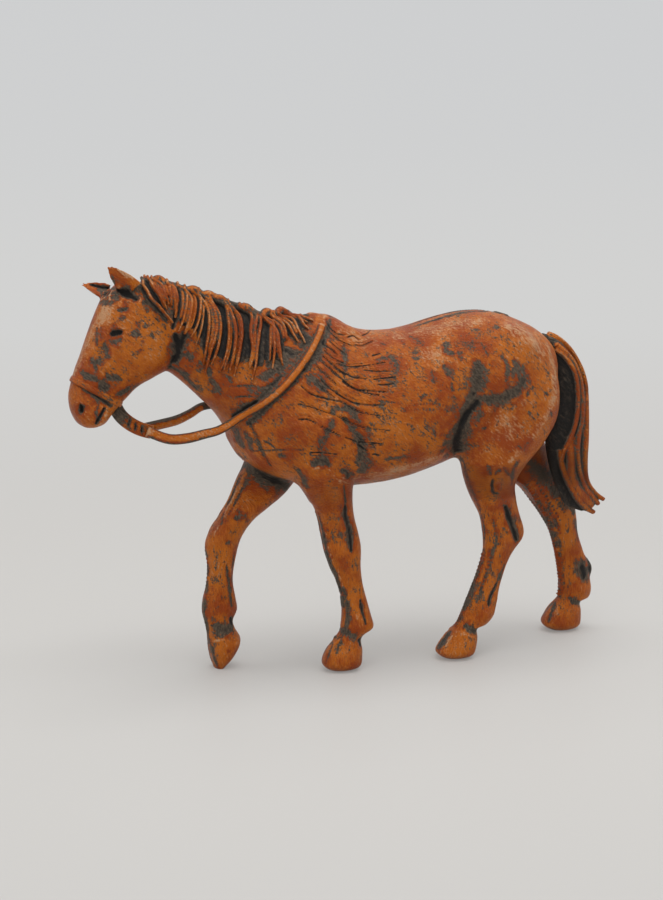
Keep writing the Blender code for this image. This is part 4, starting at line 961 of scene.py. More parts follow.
coat_cuts = {
    "head": ("head_moulding", [(head_joint, behind)]),
    "left_body_half": ("left_body_moulding", [(MIDDLE, RIGHT), (leg_joint, DOWN), (head_joint, before)]),
    "right_body_half": ("right_body_moulding", [(MIDDLE, LEFT), (leg_joint, DOWN), (head_joint, before)]),
    "left_fore_leg": ("left_fore_moulding", [(leg_joint, UP), (MIDDLE, RIGHT), (girth, BACK)]),
    "right_fore_leg": ("right_fore_moulding", [(leg_joint, UP), (MIDDLE, LEFT), (girth, BACK)]),
    "left_hind_leg": ("left_hind_moulding", [(leg_joint, UP), (MIDDLE, RIGHT), (girth, FRONT)]),
    "right_hind_leg": ("right_hind_moulding", [(leg_joint, UP), (MIDDLE, LEFT), (girth, FRONT)]),
}


def linear(colour):
    """An sRGB hex colour as linear RGBA: each part over 255, then (part + 0.055) / 1.055 to the 2.4."""
    parts = np.array([int(colour[place : place + 2], 16) for place in (1, 3, 5)]) / 255
    parts = np.where(parts <= 0.04045, parts / 12.92, ((parts + 0.055) / 1.055) ** 2.4)
    return (*parts, 1.0)


def add(tree, kind, inputs=(), **settings):
    """Adds a node with its settings and its inputs, each of them a value or another node's output."""
    node = tree.nodes.new("ShaderNode" + kind)
    for name, value in settings.items():
        setattr(node, name, value)
    for name, value in dict(inputs).items():
        if isinstance(value, bpy.types.NodeSocket):
            tree.links.new(value, node.inputs[name])
        else:
            node.inputs[name].default_value = value
    return node


def dry_brushed(name, deep, light, worn, wear=0.0, hollow_wear=1.0):
    """Brown enamel brushed nearly dry over dark grey moulded PVC, in two tones and a paler worn one.

    The brush misses hollows, the strokes' ditches and the bare patches, with ragged edges and specks, and
    leaves paler paint where it drags over raised places. Faces that point up take that paler paint too, as a
    painted highlight, and the bare plastic goes nearly black in hollows as painted shade. The film is thin,
    so its edge barely stands up.
    """
    material = bpy.data.materials.new(name)
    material.use_nodes = True
    tree = material.node_tree
    shader = tree.nodes["Principled BSDF"]
    place = add(tree, "TexCoord").outputs["Object"]
    normal = add(tree, "NewGeometry").outputs["Normal"]
    signals = {
        what: add(tree, "Attribute", attribute_name=what).outputs["Fac"]
        for what in ("bare", "pale", "ditch", "hollow", "dip")
    }
    signals["height"] = add(tree, "SeparateXYZ", {0: place}).outputs["Z"]
    signals["upwards"] = add(tree, "SeparateXYZ", {0: normal}).outputs["Z"]

    # The coat is combed backwards and down on the body and straight down on the legs, and the brush
    # follows it. The drawn patterns are stretched that way.
    body = {"Vector": place, "Rotation": (0.0, 0.75, 0.0), "Scale": (2.6, 1.1, 0.8)}
    legs = {"Vector": place, "Scale": (0.85, 1.0, 2.8)}
    where = {"Value": signals["height"], "From Min": 24 * MM, "From Max": 30 * MM}
    both = {
        0: add(tree, "MapRange", where, interpolation_type="SMOOTHSTEP").outputs["Result"],
        6: add(tree, "Mapping", legs, vector_type="TEXTURE").outputs[0],
        7: add(tree, "Mapping", body, vector_type="TEXTURE").outputs[0],
    }
    drawn = add(tree, "Mix", both, data_type="RGBA").outputs[2]

    # Patterns of about 0.5: how many millimetres their lumps are across, their detail and roughness. A
    # brush's bristles and the grain of the plastic are finer than this, and are drawn coarse enough to show.
    for what, vector, size, detail, roughness in (
        ("cloud", place, 5.5, 2.0, 0.6),
        ("blotch", place, 2.8, 3.0, 0.6),
        ("fleck", drawn, 0.46, 6.0, 0.75),
        ("grain", place, 0.20, 3.0, 0.6),
        ("bristle", drawn, 0.22, 4.0, 0.7),
        ("combed", drawn, 0.42, 3.0, 0.65),
    ):
        lumps = {"Vector": vector, "Scale": 1 / (size * MM), "Detail": detail, "Roughness": roughness}
        signals[what] = add(tree, "TexNoise", lumps).outputs["Fac"]

    # Layers: each is a start plus signals times their factors, put through a smooth step. The step begins
    # and ends at the first two values and gives the next two. The last column adds the engraved lines.
    missed_by = {"bare": 0.95, "pale": -0.5, "hollow": 9.0 * hollow_wear, "dip": 1.1 * hollow_wear}
    missed_by |= {"fleck": 3.6, "blotch": 2.0, "grain": 2.4, "combed": 1.4, "low": 0.16}
    # The dragged layer is paler paint where the brush drags over raised places, and a painted highlight on
    # faces that point up and on the pale marks.
    dragged_and_highlit_by = {"hollow": -6.0, "pale": 0.85, "bare": -0.5, "cloud": 1.2, "fleck": 1.2}
    dragged_and_highlit_by |= {"bristle": 1.9, "combed": 1.5, "low": -0.08, "upwards": 0.16}
    toned_by = {"cloud": 1.2, "bare": -0.7, "low": 0.06, "blotch": 0.5, "bristle": 0.7, "combed": 0.5}
    # The depth layer is painted shade: it darkens the bare plastic towards near black in hollows, in the
    # engraved lines and where the wear is above about 1.2.
    painted_shade_by = {"bare": 0.8, "hollow": 9.0, "dip": 1.2, "fleck": 2.4}
    for what, start, factors, low, high, bottom, top, lined in (
        ("low", 0.0, {"height": 1.0}, 29 * MM, 18 * MM, 0.0, 1.0, False),
        ("line", -0.12, {"ditch": 1.0, "grain": 0.24}, 0.17, 0.08, 0.0, 1.0, False),
        ("missed", wear - 4.7, missed_by, 0.42, 0.58, 0.0, 1.0, True),
        ("dragged_and_highlit", -2.92, dragged_and_highlit_by, 0.20, 0.80, 0.0, 0.75, False),
        ("tone", -0.95, toned_by, 0.22, 0.72, 0.0, 1.0, False),
        ("depth", -2.15, painted_shade_by, 0.0, 1.0, 0.0, 1.0, True),
        # Painted sheen: a lighter grey in random streaks on the bare plastic.
        ("painted_sheen", 0.0, {"bristle": 1.0}, 0.38, 0.62, 0.0, 1.0, False),
        ("roughness", 0.0, {"missed": 1.0}, 0.0, 1.0, 0.33, 0.44, False),
    ):
        total = start
        for signal, factor in factors.items():
            term = {0: signals[signal], 1: factor, 2: total}
            total = add(tree, "Math", term, operation="MULTIPLY_ADD").outputs[0]
        step = {"Value": total, "From Min": low, "From Max": high, "To Min": bottom, "To Max": top}
        signals[what] = add(tree, "MapRange", step, interpolation_type="SMOOTHSTEP").outputs["Result"]
        if lined:
            either = {0: signals[what], 1: signals["line"]}
            signals[what] = add(tree, "Math", either, operation="MAXIMUM").outputs[0]

    # The paint goes from a deep tone to a light one, and to a worn one where the brush drags, which on faces
    # that point up and on some pale marks is a painted highlight. The bare plastic takes a lighter grey in
    # random streaks, a painted sheen, and goes nearly black where it lies deep, a painted shade.
    colours = {"deep": linear(deep), "light": linear(light), "worn": linear(worn)}
    colours |= {"plastic": linear("#3d342b"), "sheen_grey": linear("#655646"), "painted_shade": linear("#15110e")}
    for what, share, under, over in (
        ("paint", "tone", "deep", "light"),
        ("paint", "dragged_and_highlit", "paint", "worn"),
        ("plastic", "painted_sheen", "plastic", "sheen_grey"),
        ("plastic", "depth", "plastic", "painted_shade"),
        ("surface", "missed", "paint", "plastic"),
    ):
        blend = {0: signals[share], 6: colours[under], 7: colours[over]}
        colours[what] = add(tree, "Mix", blend, data_type="RGBA").outputs[2]
    tree.links.new(colours["surface"], shader.inputs["Base Color"])
    tree.links.new(signals["roughness"], shader.inputs["Roughness"])
    # Enamel's IOR is about 1.5, but this thin, nearly dry film glints less.
    shader.inputs["IOR"].default_value = 1.33

    relief = 0.0
    stands = {"missed": -0.40, "line": -0.9, "fleck": 1.4, "bristle": 1.7, "combed": 2.4}
    for signal, factor in stands.items():
        term = {0: signals[signal], 1: factor, 2: relief}
        relief = add(tree, "Math", term, operation="MULTIPLY_ADD").outputs[0]
    bump = add(tree, "Bump", {"Strength": 0.9, "Distance": 0.13 * MM, "Height": relief})
    tree.links.new(bump.outputs["Normal"], shader.inputs["Normal"])
    return material


def hand_over(piece, node, material):
    """The piece rides on the figure, stands for its solid, and takes its finish."""
    piece.data.materials.clear()
    piece.data.materials.append(material)
    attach(piece, "root")
    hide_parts(node)


coat_finish = dry_brushed("brown_enamel_over_grey_pvc", "#913b01", "#ba640f", "#c29a74")
for node, (name, cuts) in coat_cuts.items():
    hand_over(cut_out(name, coat, cuts), node, coat_finish)

# Mane: a bunch of locks moulded in the same plastic and glued over the crest. Dark wide locks lie on the
# near side of the neck, and narrow ones that the brush has caught stand on them, all fused in one skin. The
# bare hair between the painted locks is darkened nearly to black as painted shade.
HAIR_CUBE = 0.12 * MM
LOCK_RINGS = 36
UNDER_LOCK_RINGS = 31
UNDER_LOCK_WIDTH = 1.25 * MM
UNDER_LOCK_THICKNESS = 0.62 * MM
UNDER_LOCK_SPREAD = (0.7, 1.1)
UPPER_LOCK_WIDTH = 0.48 * MM
UPPER_LOCK_THICKNESS = 0.66 * MM
UPPER_LOCK_HEIGHT = 0.52 * MM
UPPER_LOCK_SPREAD = (0.85, 1.2)
# Between them stand thinner ones, by chance, but none right behind the poll.
THIN_LOCK_CHANCE = 0.55
THIN_LOCKS_AFTER = 5
THIN_LOCK_WIDTH = 0.60 * UPPER_LOCK_WIDTH
THIN_LOCK_HEIGHT = 0.30 * MM
THIN_LOCK_STRAY = 0.10 * MM
ROOT_RISE = 0.55 * MM
ROOT_LENGTH_SHARE = 0.12
ROOT_OVER_CREST = (0.1 * MM, 0.6 * MM, 0.0)
MANE_PAINTED_HEIGHT = 0.16 * MM
MANE_PAINTED_REACH = 0.32 * MM
# How bare the mane is away from its painted locks, high enough to darken it as painted shade.
MANE_BARE_AND_SHADE = 1.9
ROLL_RINGS = 180
ROLL_WIDTH = 1.45 * MM
ROLL_FACING = np.array((0.0, -1.0, 0.6))
BULGE_RISE = 0.40 * MM
BULGE_LENGTH_SHARE = 0.022
BULGE_FULLNESS = 0.1
BULGE_PAINTED_PLACE = (0.0, -0.35 * MM, 0.45 * MM)
BULGE_PAINTED_REACH = 0.45 * MM
BULGE_PAINTED_RINGS = 5
# Where locks bulge over the crest, as shares of its length from the poll.
CREST_BULGES = np.array((0.10, 0.28, 0.36, 0.42, 0.56, 0.68, 0.78, 0.95))
# How far the roll of hair stands above the crest: shares of its length, and heights.
CREST_RISE = ((0.0, 0.1, 0.6, 0.75, 1.0), (0.0, 0.36 * MM, 0.42 * MM, 0.62 * MM, 0.55 * MM))


def lock(path, outward, width, thickness, first=0.24, last=0.90):
    """A lock as rings along a path: an oval square to it, flat against the outward direction. Its size
    goes as the root of the sine of the way along, from the first share of half a turn to the last."""
    ahead = unit(np.gradient(path, axis=0))
    across = unit(np.cross(ahead, outward))
    raised = np.cross(across, ahead)
    way = np.linspace(0.0, 1.0, len(path))
    size = np.sin(np.pi * (first + (last - first) * way)) ** 0.5
    turn = once_round(16)[None, :, None]
    oval = width / 2 * np.cos(turn) * across[:, None] + thickness / 2 * np.sin(turn) * raised[:, None]
    return path[:, None] + size[:, None, None] * oval


def laid_on(surface, path):
    """A path moved onto a surface, and the surface's outward direction at each of its points."""
    spots = [surface.find_nearest(Vector(place)) for place in path]
    return np.array([tuple(spot[0]) for spot in spots]), np.array([tuple(spot[1]) for spot in spots])


def evenly(path, count):
    """So many points at even distances along a path."""
    gone = np.concatenate(([0.0], np.linalg.norm(np.diff(path, axis=0), axis=1).cumsum()))
    stations = np.linspace(0.0, gone[-1], count)
    return np.stack([np.interp(stations, gone, axis) for axis in path.T], axis=1)


def moulded_hair(name, locks, painted, bare_and_shade, node, finish):
    """Fuses locks in one piece. The paint lies along the locks that the brush caught, each given by its
    spine and how far the paint reaches from it. What is farther off stays bare, and as dark as the
    bareness says."""
    mesh = fused(name, locks, HAIR_CUBE)
    edges = read(mesh.edges, "vertices", 2, np.int32)
    points = relaxed(read(mesh.vertices, "co"), edges, 1, 0.5)
    move_to(mesh, points)
    gaps = np.full(len(points), np.inf)
    for spine, reach in painted:
        middle, half = spine.mean(axis=0), np.ptp(spine, axis=0) / 2
        near = np.flatnonzero((np.abs(points - middle) < half + MM).all(axis=1))
        apart = np.linalg.norm(points[near, None] - spine, axis=2).min(axis=1)
        gaps[near] = np.minimum(gaps[near], apart / reach)
    # Away from the painted locks the hair is bare, and the higher its bareness the darker it is, as painted
    # shade.
    store_marks(mesh, bare_and_shade * (1 - np.exp(-(gaps**4))), (5, 40))
    mesh.shade_smooth()
    piece = placed(name, mesh)
    hand_over(piece, node, finish)
    return piece


coat_surface = surface_of(coat)
mane_paths = [evenly(np.vstack((path[:1] + ROOT_OVER_CREST, path)), LOCK_RINGS) for path in mane_paths]
locks, painted = [], []
# A roll of hair runs along the crest, where the locks part, and some locks bulge there.
roll = evenly(curve_through(np.array([path[2] for path in mane_paths[1:]]), 4), ROLL_RINGS)
way = np.linspace(0.0, 1.0, ROLL_RINGS)
gaps = (way[:, None] - CREST_BULGES) / BULGE_LENGTH_SHARE
bulge = np.exp(-(gaps**2)).sum(axis=1)[:, None, None]
roll = roll + (np.interp(way, *CREST_RISE)[:, None] + BULGE_RISE * bulge[:, 0]) * UP
locks.append(tube(lock(roll, ROLL_FACING, ROLL_WIDTH * (1 + BULGE_FULLNESS * bulge), ROLL_WIDTH)))
for place in (CREST_BULGES * ROLL_RINGS).astype(int):
    near_top = roll[max(place - BULGE_PAINTED_RINGS, 0) : place + BULGE_PAINTED_RINGS + 1]
    painted.append((near_top + BULGE_PAINTED_PLACE, BULGE_PAINTED_REACH))
between = curve_through(np.array(mane_paths).reshape(len(mane_paths), -1), 3).reshape(-1, LOCK_RINGS, 3)
for count, path in enumerate(between):
    path, normals = laid_on(coat_surface, path)
    thickness = UNDER_LOCK_THICKNESS * chance.uniform(*UNDER_LOCK_SPREAD)
    under, facing = path[:UNDER_LOCK_RINGS], normals[:UNDER_LOCK_RINGS]
    locks.append(tube(lock(under, facing, UNDER_LOCK_WIDTH, thickness)))
    if count % 3 and count > THIN_LOCKS_AFTER and chance.random() < THIN_LOCK_CHANCE:
        start, end = chance.integers(1, 9), LOCK_RINGS - chance.integers(0, 12)
        stray = chance.normal(0.0, THIN_LOCK_STRAY)
        spine = path + stray * np.array(BACK) + THIN_LOCK_HEIGHT * normals
        spine, normals = spine[start:end], normals[start:end]
        locks.append(tube(lock(spine, normals, THIN_LOCK_WIDTH, UPPER_LOCK_THICKNESS)))
        painted.append((spine + MANE_PAINTED_HEIGHT * normals, MANE_PAINTED_REACH))
# Each painted lock stands up at its root, and its height falls to its tip by the root of a sine.
way = np.linspace(0.0, 1.0, LOCK_RINGS)[:, None]
height = UPPER_LOCK_HEIGHT * np.sin(np.pi * (0.22 + 0.75 * way)) ** 0.5
height = height + ROOT_RISE * np.exp(-((way / ROOT_LENGTH_SHARE) ** 2))
for path in mane_paths:
    path, normals = laid_on(coat_surface, path)
    spine = path + height * normals
    width = UPPER_LOCK_WIDTH * chance.uniform(*UPPER_LOCK_SPREAD)
    locks.append(tube(lock(spine, normals, width, UPPER_LOCK_THICKNESS)))
    painted.append((spine + MANE_PAINTED_HEIGHT * normals, MANE_PAINTED_REACH))
hair_finish = dry_brushed("brown_enamel_over_grey_pvc_hair", "#8a3a05", "#b9640f", "#c29a74", -0.05, 0.5)
mane = moulded_hair("mane_moulding", locks, painted, MANE_BARE_AND_SHADE, "mane", hair_finish)

# Tail: a bunch of long hair moulded in the same plastic, on a peg at the dock, close behind the thighs.
# It is smooth inside, bare and darkened nearly to black as painted shade, with painted locks on the outside
# that turn out at their tips.
TAIL_WIDTH = 0.0044
TAIL_SQUARENESS = 2.0
TAIL_SHARES = (
    (0.596, 0.918, 0.600, 0.895, 0.30, 0.0),
    (0.632, 0.905, 0.608, 0.868, 0.62, 0.0),
    (0.664, 0.878, 0.616, 0.825, 0.86, 0.0),
    (0.696, 0.832, 0.621, 0.775, 1.00, 0.0),
    (0.719, 0.782, 0.620, 0.720, 1.00, 0.0),
    (0.736, 0.720, 0.616, 0.655, 0.98, 0.0),
    (0.742, 0.646, 0.614, 0.587, 0.92, 0.0),
    (0.743, 0.570, 0.630, 0.511, 0.84, 0.0),
    (0.742, 0.501, 0.654, 0.450, 0.72, 0.0),
    (0.756, 0.453, 0.678, 0.405, 0.52, 0.0),
    (0.780, 0.426, 0.708, 0.390, 0.34, 0.0),
    (0.790, 0.404, 0.734, 0.380, 0.18, 0.0),
)
TAIL_LOCK_WIDTHS = (1.20 * MM, 1.15 * MM, 1.0 * MM, 1.9 * MM, 1.3 * MM)
TAIL_LOCK_STARTS = (0.24, 0.24, 0.24, 0.03, 0.03)
TAIL_LOCK_THICKNESS = 0.95 * MM
TAIL_LOCK_END = 0.82
TAIL_PAINTED_HEIGHT = 0.25 * MM
TAIL_PAINTED_SHARES = (0.80, 0.44, 0.46, 0.43, 0.46)
# How bare the tail is away from its painted locks, high enough to make it nearly black as painted shade.
TAIL_BARE_AND_SHADE = 2.25
# Painted locks of the tail, each from the dock down.
TAIL_LOCKS_PIXELS = (
    ((548, 333.5), (555, 336.5), (562, 341.5), (570.2, 350.2), (577.8, 363), (582.6, 375), (585.3, 391),
     (586.1, 411), (586, 438), (585, 458), (585.8, 476), (590, 487), (597, 495), (603.7, 499.4)),
    ((556, 344), (563, 350), (569, 356.5), (574, 364), (579, 377), (581.2, 391), (582, 406), (581, 422),
     (578, 436), (577, 452), (579.2, 472), (584.5, 487), (591.5, 496), (598.3, 504)),
    ((556, 349), (563, 355), (568, 361), (572.6, 369), (576, 381), (577.4, 397.5), (576.5, 414),
     (574, 427), (568.6, 440.7), (563.5, 451), (561.5, 460)),
    ((571, 438), (570.5, 450), (570.5, 461), (571, 474), (575.5, 486.5), (583.4, 497.3), (592.9, 505.4)),
    ((560, 452), (561.5, 463), (565, 474), (572.4, 489), (579, 500), (587, 508), (593.5, 512.2)),
)

bundle = tube(limb(TAIL_SHARES, TAIL_WIDTH, None, TAIL_SQUARENESS))
bundle_surface = BVHTree.FromPolygons(bundle[0].tolist(), bundle[1])
# Where a lock hangs free of the bundle, its place is on a sheet in the middle plane.
SHEET_CORNERS = ((0.02, 0.0, 0.0), (0.06, 0.0, 0.0), (0.06, 0.0, 0.06), (0.02, 0.0, 0.06))
points = [*bundle[0].tolist(), *SHEET_CORNERS]
sheet_face = list(range(len(bundle[0]), len(points)))
with_sheet = BVHTree.FromPolygons(points, [*bundle[1], sheet_face])
locks, painted = [bundle], []
for pixels, width, first, share in zip(
    TAIL_LOCKS_PIXELS, TAIL_LOCK_WIDTHS, TAIL_LOCK_STARTS, TAIL_PAINTED_SHARES
):
    near_side = evenly(curve_through(seen_on(with_sheet, pixels), 8), 60)
    for side in (1, -1):
        path = near_side * (1, side, 1)
        _, normals = laid_on(bundle_surface, path)
        locks.append(tube(lock(path, normals, width, TAIL_LOCK_THICKNESS, first, TAIL_LOCK_END)))
        facing = unit(normals - (0.0, side, 0.0))
        painted.append((path + TAIL_PAINTED_HEIGHT * facing, share * width))
moulded_hair("tail_moulding", locks, painted, TAIL_BARE_AND_SHADE, "tail", hair_finish)

# Noseband: a flat strap of the same plastic, moulded round the muzzle, over the nose and under the chin.
# It is sunk a little into the head and painted with it, and the brush skips its edges.
NOSEBAND_SHARES = ((-0.812, 0.871), (-0.674, 0.791))
NOSEBAND_WIDTH = 0.95 * MM
NOSEBAND_THICKNESS = 0.70 * MM
NOSEBAND_PROUD = 0.22 * MM
NOSEBAND_RINGS = 120
NOSEBAND_CORNER_POWER = 0.6
NOSEBAND_EDGE_BARENESS = 0.75
MUZZLE_REACH = 0.02


def at(x_share, z_share, y=0.0):
    """A place of the outline in metres."""
    return np.array((x_share * BODY_LENGTH, y, z_share * WITHERS_HEIGHT))


def strap_object(name, rings, node, missed, closed_loop=False):
    """A strap as a closed skin over its rings, joined end to end as a loop where it is one. Missed says
    for each point of the rings how far the brush missed it."""
    points, faces = tube(rings)
    if closed_loop:
        count, sides, _ = rings.shape
        points, faces = points[:-2], faces[: (count - 1) * sides]
        last = (count - 1) * sides + np.arange(sides)
        first = np.arange(sides)
        faces = faces + np.stack((last, np.roll(last, -1), np.roll(first, -1), first), axis=-1).tolist()
    mesh = bpy.data.meshes.new(name)
    mesh.from_pydata(points.tolist(), [], faces)
    shell = bmesh.new()
    shell.from_mesh(mesh)
    bmesh.ops.recalc_face_normals(shell, faces=shell.faces)
    shell.to_mesh(mesh)
    shell.free()
    mesh.shade_smooth()
    bare = np.zeros(len(points))
    bare[: rings.shape[0] * rings.shape[1]] = np.broadcast_to(missed, rings.shape[:2]).ravel()
    store_marks(mesh, bare, (4, 20))
    hand_over(placed(name, mesh), node, tack_finish)


tack_finish = dry_brushed("brown_enamel_over_grey_pvc_tack", "#8a3802", "#b9620f", "#c29a74", 0.08, 0.6)
nose, chin = (at(*place) for place in NOSEBAND_SHARES)
middle = (nose + chin) / 2
upward_band = (nose - chin) / np.linalg.norm(nose - chin)
crosswise = np.cross(upward_band, RIGHT)
turn = once_round(28)
thick = NOSEBAND_THICKNESS / 2 * raised_to(np.cos(turn), NOSEBAND_CORNER_POWER)[:, None]
wide = NOSEBAND_WIDTH / 2 * raised_to(np.sin(turn), NOSEBAND_CORNER_POWER)[:, None]
rings = []
for way in once_round(NOSEBAND_RINGS):
    ray = np.cos(way) * upward_band + np.sin(way) * np.array(RIGHT)
    place = coat_surface.ray_cast(Vector(middle + MUZZLE_REACH * ray), Vector(-ray))[0]
    place = np.array(place) + (NOSEBAND_PROUD - NOSEBAND_THICKNESS / 2) * ray
    rings.append(place + thick * ray + wide * crosswise)
missed = NOSEBAND_EDGE_BARENESS * np.sin(turn) ** 6
strap_object("noseband_moulding", np.array(rings), "noseband", missed, closed_loop=True)

# Rein strap: a short flat strap, moulded with the noseband, that runs from it to where the reins part. It
# has three cuts across it for its stitching, and the brush has missed its upper end.
STRAP_SHARES = ((-0.694, 0.800), (-0.673, 0.760), (-0.646, 0.734), (-0.615, 0.716), (-0.585, 0.706))
STRAP_WIDTH = 2.0 * MM
STRAP_THICKNESS = 1.05 * MM
STRAP_CORNER_POWER = 0.7
# Cuts: where along the strap, how far they lean and how long each is, as shares of it, and how much of
# its thickness each takes off.
STRAP_CUTS = (0.47, 0.62, 0.76)
CUT_LEAN = 0.05
CUT_LENGTH = 0.028
CUT_DEPTH_SHARE = 0.35
CUT_BARENESS = 1.5
STRAP_END_BARENESS = 1.4
path = curve_through([at(*place) for place in STRAP_SHARES], 24)
up = np.cross(unit(np.gradient(path, axis=0)), RIGHT)
way = np.linspace(0.0, 1.0, len(path))[:, None]
turn = once_round(48)
gaps = np.abs(way[..., None] + CUT_LEAN * np.cos(turn)[:, None] - STRAP_CUTS).min(axis=-1)
cut = np.exp(-((gaps / CUT_LENGTH) ** 2)) * np.clip(1.5 - 2 * np.abs(np.cos(turn)), 0.0, 1.0)
flat = raised_to(np.sin(turn), STRAP_CORNER_POWER) * (1 - CUT_DEPTH_SHARE * cut)
rings = path[:, None] + STRAP_WIDTH / 2 * np.cos(turn)[:, None] * up[:, None]
rings += STRAP_THICKNESS / 2 * flat[..., None] * np.array(RIGHT)
missed = STRAP_END_BARENESS * (1 - np.clip(way * 5 - 1.2, 0.0, 1.0)) + CUT_BARENESS * cut
strap_object("rein_strap_moulding", rings, "rein_strap", missed)

# Reins: two narrow straps of the same plastic, free under the throat, then moulded along the neck and
# the shoulder, up over the foot of the mane to the withers.
REIN_WIDTH = 1.15 * MM
FREE_REIN_WIDTH = 1.5 * MM
# Rings on which the rein has its free width, and its width on the neck.
FREE_REIN_RINGS = (0, 20, 50)
REIN_STEPS = 10
REIN_THICKNESS_SHARE = 0.85
REIN_PROUD_SHARE = 0.30
REIN_LEAN = 0.35
REIN_BARENESS = 1.4
REIN_PAINTING = 1.9
BESIDE_NECK = 0.03
LEFT_FREE_SHARES = (
    (-0.600, 0.710, 0.06),
    (-0.545, 0.689, 0.16),
    (-0.500, 0.691, 0.26),
    (-0.455, 0.703, 0.36),
    (-0.412, 0.717, 0.45),
)
RIGHT_FREE_SHARES = (
    (-0.600, 0.716, 0.06),
    (-0.545, 0.720, 0.16),
    (-0.496, 0.725, 0.25),
    (-0.452, 0.737, 0.34),
    (-0.412, 0.752, 0.42),
)
REIN_LAID_SHARES = (
    (-0.345, 0.756),
    (-0.305, 0.788),
    (-0.262, 0.822),
    (-0.216, 0.864),
    (-0.170, 0.910),
    (-0.132, 0.950),
    (-0.108, 0.978),
)
mane_surface = surface_of(mane.data)
for name, sign, free in (("left_rein", -1, LEFT_FREE_SHARES), ("right_rein", 1, RIGHT_FREE_SHARES)):
    route = [at(x, z, sign * share * BARREL_WIDTH / 2) for x, z, share in free]
    for place in REIN_LAID_SHARES:
        start = Vector(at(*place, sign * BESIDE_NECK))
        hits = [tree.ray_cast(start, Vector((0, -sign, 0))) for tree in (coat_surface, mane_surface)]
        spot = min((hit for hit in hits if hit[0]), key=lambda hit: hit[3])
        route.append(np.array(spot[0]) + REIN_PROUD_SHARE * REIN_WIDTH * np.array(spot[1]))
    path = curve_through(route, REIN_STEPS)
    ahead = unit(np.gradient(path, axis=0))
    across = unit(np.cross(ahead, (0, sign, REIN_LEAN)))
    raised = np.cross(across, ahead)
    turn = once_round(20)[None, :, None]
    oval = np.cos(turn) * across[:, None] + REIN_THICKNESS_SHARE * np.sin(turn) * raised[:, None]
    # The brush runs along the flat faces, and where the rein lies on the horse along the outer one.
    facing = np.sin(turn[..., 0])
    hangs = np.arange(len(path))[:, None] < (len(free) - 1) * REIN_STEPS
    brushed = np.clip(np.where(hangs, np.abs(facing), facing) * 1.5 - 0.4, 0.0, 1.0)
    missed = REIN_BARENESS - REIN_PAINTING * brushed
    widths = (FREE_REIN_WIDTH, FREE_REIN_WIDTH, REIN_WIDTH)
    width = np.interp(np.arange(len(path)), FREE_REIN_RINGS, widths)
    strap_object(name + "_moulding", path[:, None] + width[:, None, None] / 2 * oval, name, missed)

# Floor: a roll of pale grey paper, laid flat under the horse and swept up behind it. It has a trace of
# gloss, and it shows the horse's shadow.
FLOOR_HALF_WIDTH = 1.2
FLOOR_FRONT = -0.8
FLOOR_BACK = 0.9
SWEEP_RADIUS = 0.5
SWEEP_TOP = 1.5
PAPER_COLOUR = "#bebcb9"
PAPER_ROUGHNESS = 0.55
bend = np.linspace(0.0, np.pi / 2, 24)
profile = np.concatenate(
    (
        [(FLOOR_FRONT, 0.0)],
        np.stack((FLOOR_BACK + SWEEP_RADIUS * np.sin(bend), SWEEP_RADIUS * (1 - np.cos(bend))), axis=1),
        [(FLOOR_BACK + SWEEP_RADIUS, SWEEP_TOP)],
    )
)
ends = np.array((-FLOOR_HALF_WIDTH, FLOOR_HALF_WIDTH))
grid = np.empty((2, len(profile), 3))
grid[..., 0] = ends[:, None]
grid[..., 1:] = profile
here = np.arange(2 * len(profile)).reshape(2, -1)
faces = np.stack((here[0, :-1], here[1, :-1], here[1, 1:], here[0, 1:]), axis=-1)
sheet = bpy.data.meshes.new("paper_sweep")
sheet.from_pydata(grid.reshape(-1, 3).tolist(), [], faces.tolist())
sheet.shade_smooth()
floor = placed("paper_sweep", sheet)
paper = bpy.data.materials.new("pale_grey_paper")
paper.use_nodes = True
tree = paper.node_tree
paper_shader = tree.nodes["Principled BSDF"]
paper_shader.inputs["Base Color"].default_value = linear(PAPER_COLOUR)
paper_shader.inputs["Roughness"].default_value = PAPER_ROUGHNESS
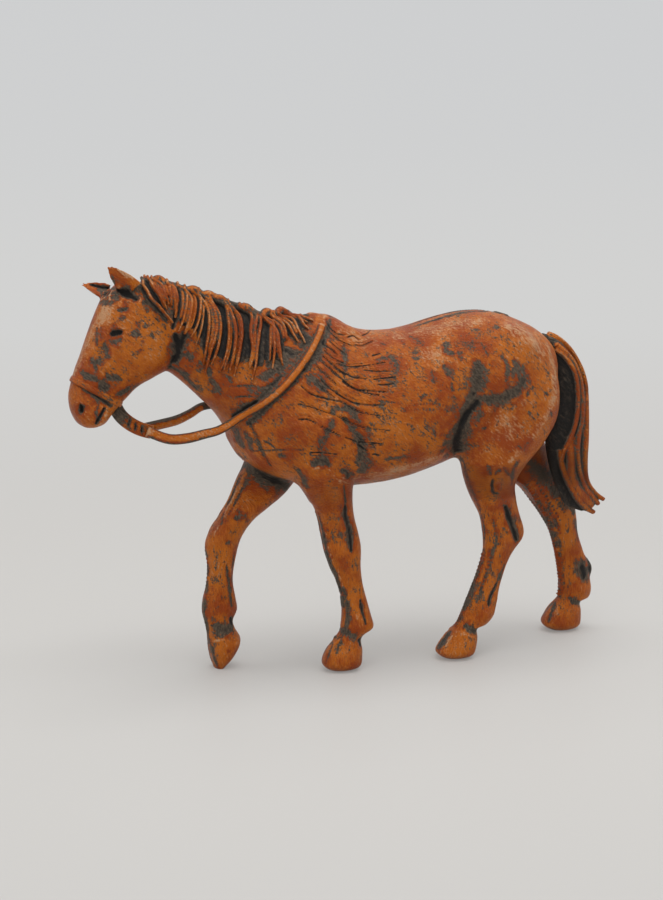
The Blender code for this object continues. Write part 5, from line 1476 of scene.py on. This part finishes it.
# Away from the horse the picture shows the paper evenly lit, though it lights the horse as it is. Its
# tone changes from one colour to the next between two distances from the horse, in metres.
EVEN_FROM = 0.055
EVEN_AT = 0.16
LEAST_EVEN = 0.3
NEAR_TONE = "#cfcdca"
FARTHER_TONES = ((0.10, 0.35, "#d2d2d1"), (0.45, 1.3, "#cecfd0"))
place = add(tree, "TexCoord").outputs["Object"]
away = add(tree, "VectorMath", {0: place}, operation="LENGTH").outputs["Value"]
tone = linear(NEAR_TONE)
for near, far, next_tone in FARTHER_TONES:
    turned = add(tree, "MapRange", {"Value": away, "From Min": near, "From Max": far}).outputs["Result"]
    tones = {0: turned, 6: tone, 7: linear(next_tone)}
    tone = add(tree, "Mix", tones, data_type="RGBA").outputs[2]
even = add(tree, "Emission", {"Color": tone}).outputs["Emission"]
evenness = {"Value": away, "From Min": EVEN_FROM, "From Max": EVEN_AT, "To Min": LEAST_EVEN}
share = add(tree, "MapRange", evenness).outputs["Result"]
rays = add(tree, "LightPath").outputs
seen = 0.0
for kind in ("Is Camera Ray", "Is Glossy Ray", "Is Transmission Ray"):
    seen = add(tree, "Math", {0: seen, 1: rays[kind]}, operation="MAXIMUM").outputs[0]
share = add(tree, "Math", {0: seen, 1: share}, operation="MULTIPLY").outputs[0]
mixed = add(tree, "MixShader", {0: share, 1: paper_shader.outputs["BSDF"], 2: even})
tree.links.new(mixed.outputs["Shader"], tree.nodes["Material Output"].inputs["Surface"])
sheet.materials.append(paper)

# Light: a broad soft lamp overhead and a weaker one from the front, in a pale room that is brighter
# towards its ceiling.
ROOM_LOW = 0.38
ROOM_HIGH = 0.95
ROOM_HIGH_FROM = 0.8
ROOM_COLOUR = "#f1f1f0"
world = bpy.data.worlds.new("room")
bpy.context.scene.world = world
world.use_nodes = True
tree = world.node_tree
direction = add(tree, "TexCoord").outputs["Generated"]
upwards = add(tree, "SeparateXYZ", {0: direction}).outputs["Z"]
rising = {"Value": upwards, "From Max": ROOM_HIGH_FROM, "To Min": ROOM_LOW, "To Max": ROOM_HIGH}
glow = add(tree, "MapRange", rising)
tree.nodes["Background"].inputs["Color"].default_value = linear(ROOM_COLOUR)
tree.links.new(glow.outputs["Result"], tree.nodes["Background"].inputs["Strength"])


def lamp(name, place, target, size, power):
    """A square soft lamp that faces its target."""
    light = bpy.data.lights.new(name, "AREA")
    light.shape = "SQUARE"
    light.size = size
    light.energy = power
    turned = (Vector(place) - Vector(target)).to_track_quat("Z", "Y").to_matrix().to_4x4()
    placed(name, light).matrix_world = Matrix.Translation(place) @ turned


horse_middle = (0.0, 0.0, 0.03)
lamp("overhead_softbox", (0.02, -0.06, 0.70), horse_middle, size=0.55, power=3.5)
lamp("front_softbox", (-0.45, -0.75, 0.34), horse_middle, size=0.50, power=1.2)

view = bpy.context.scene.view_settings
view.view_transform = "Standard"
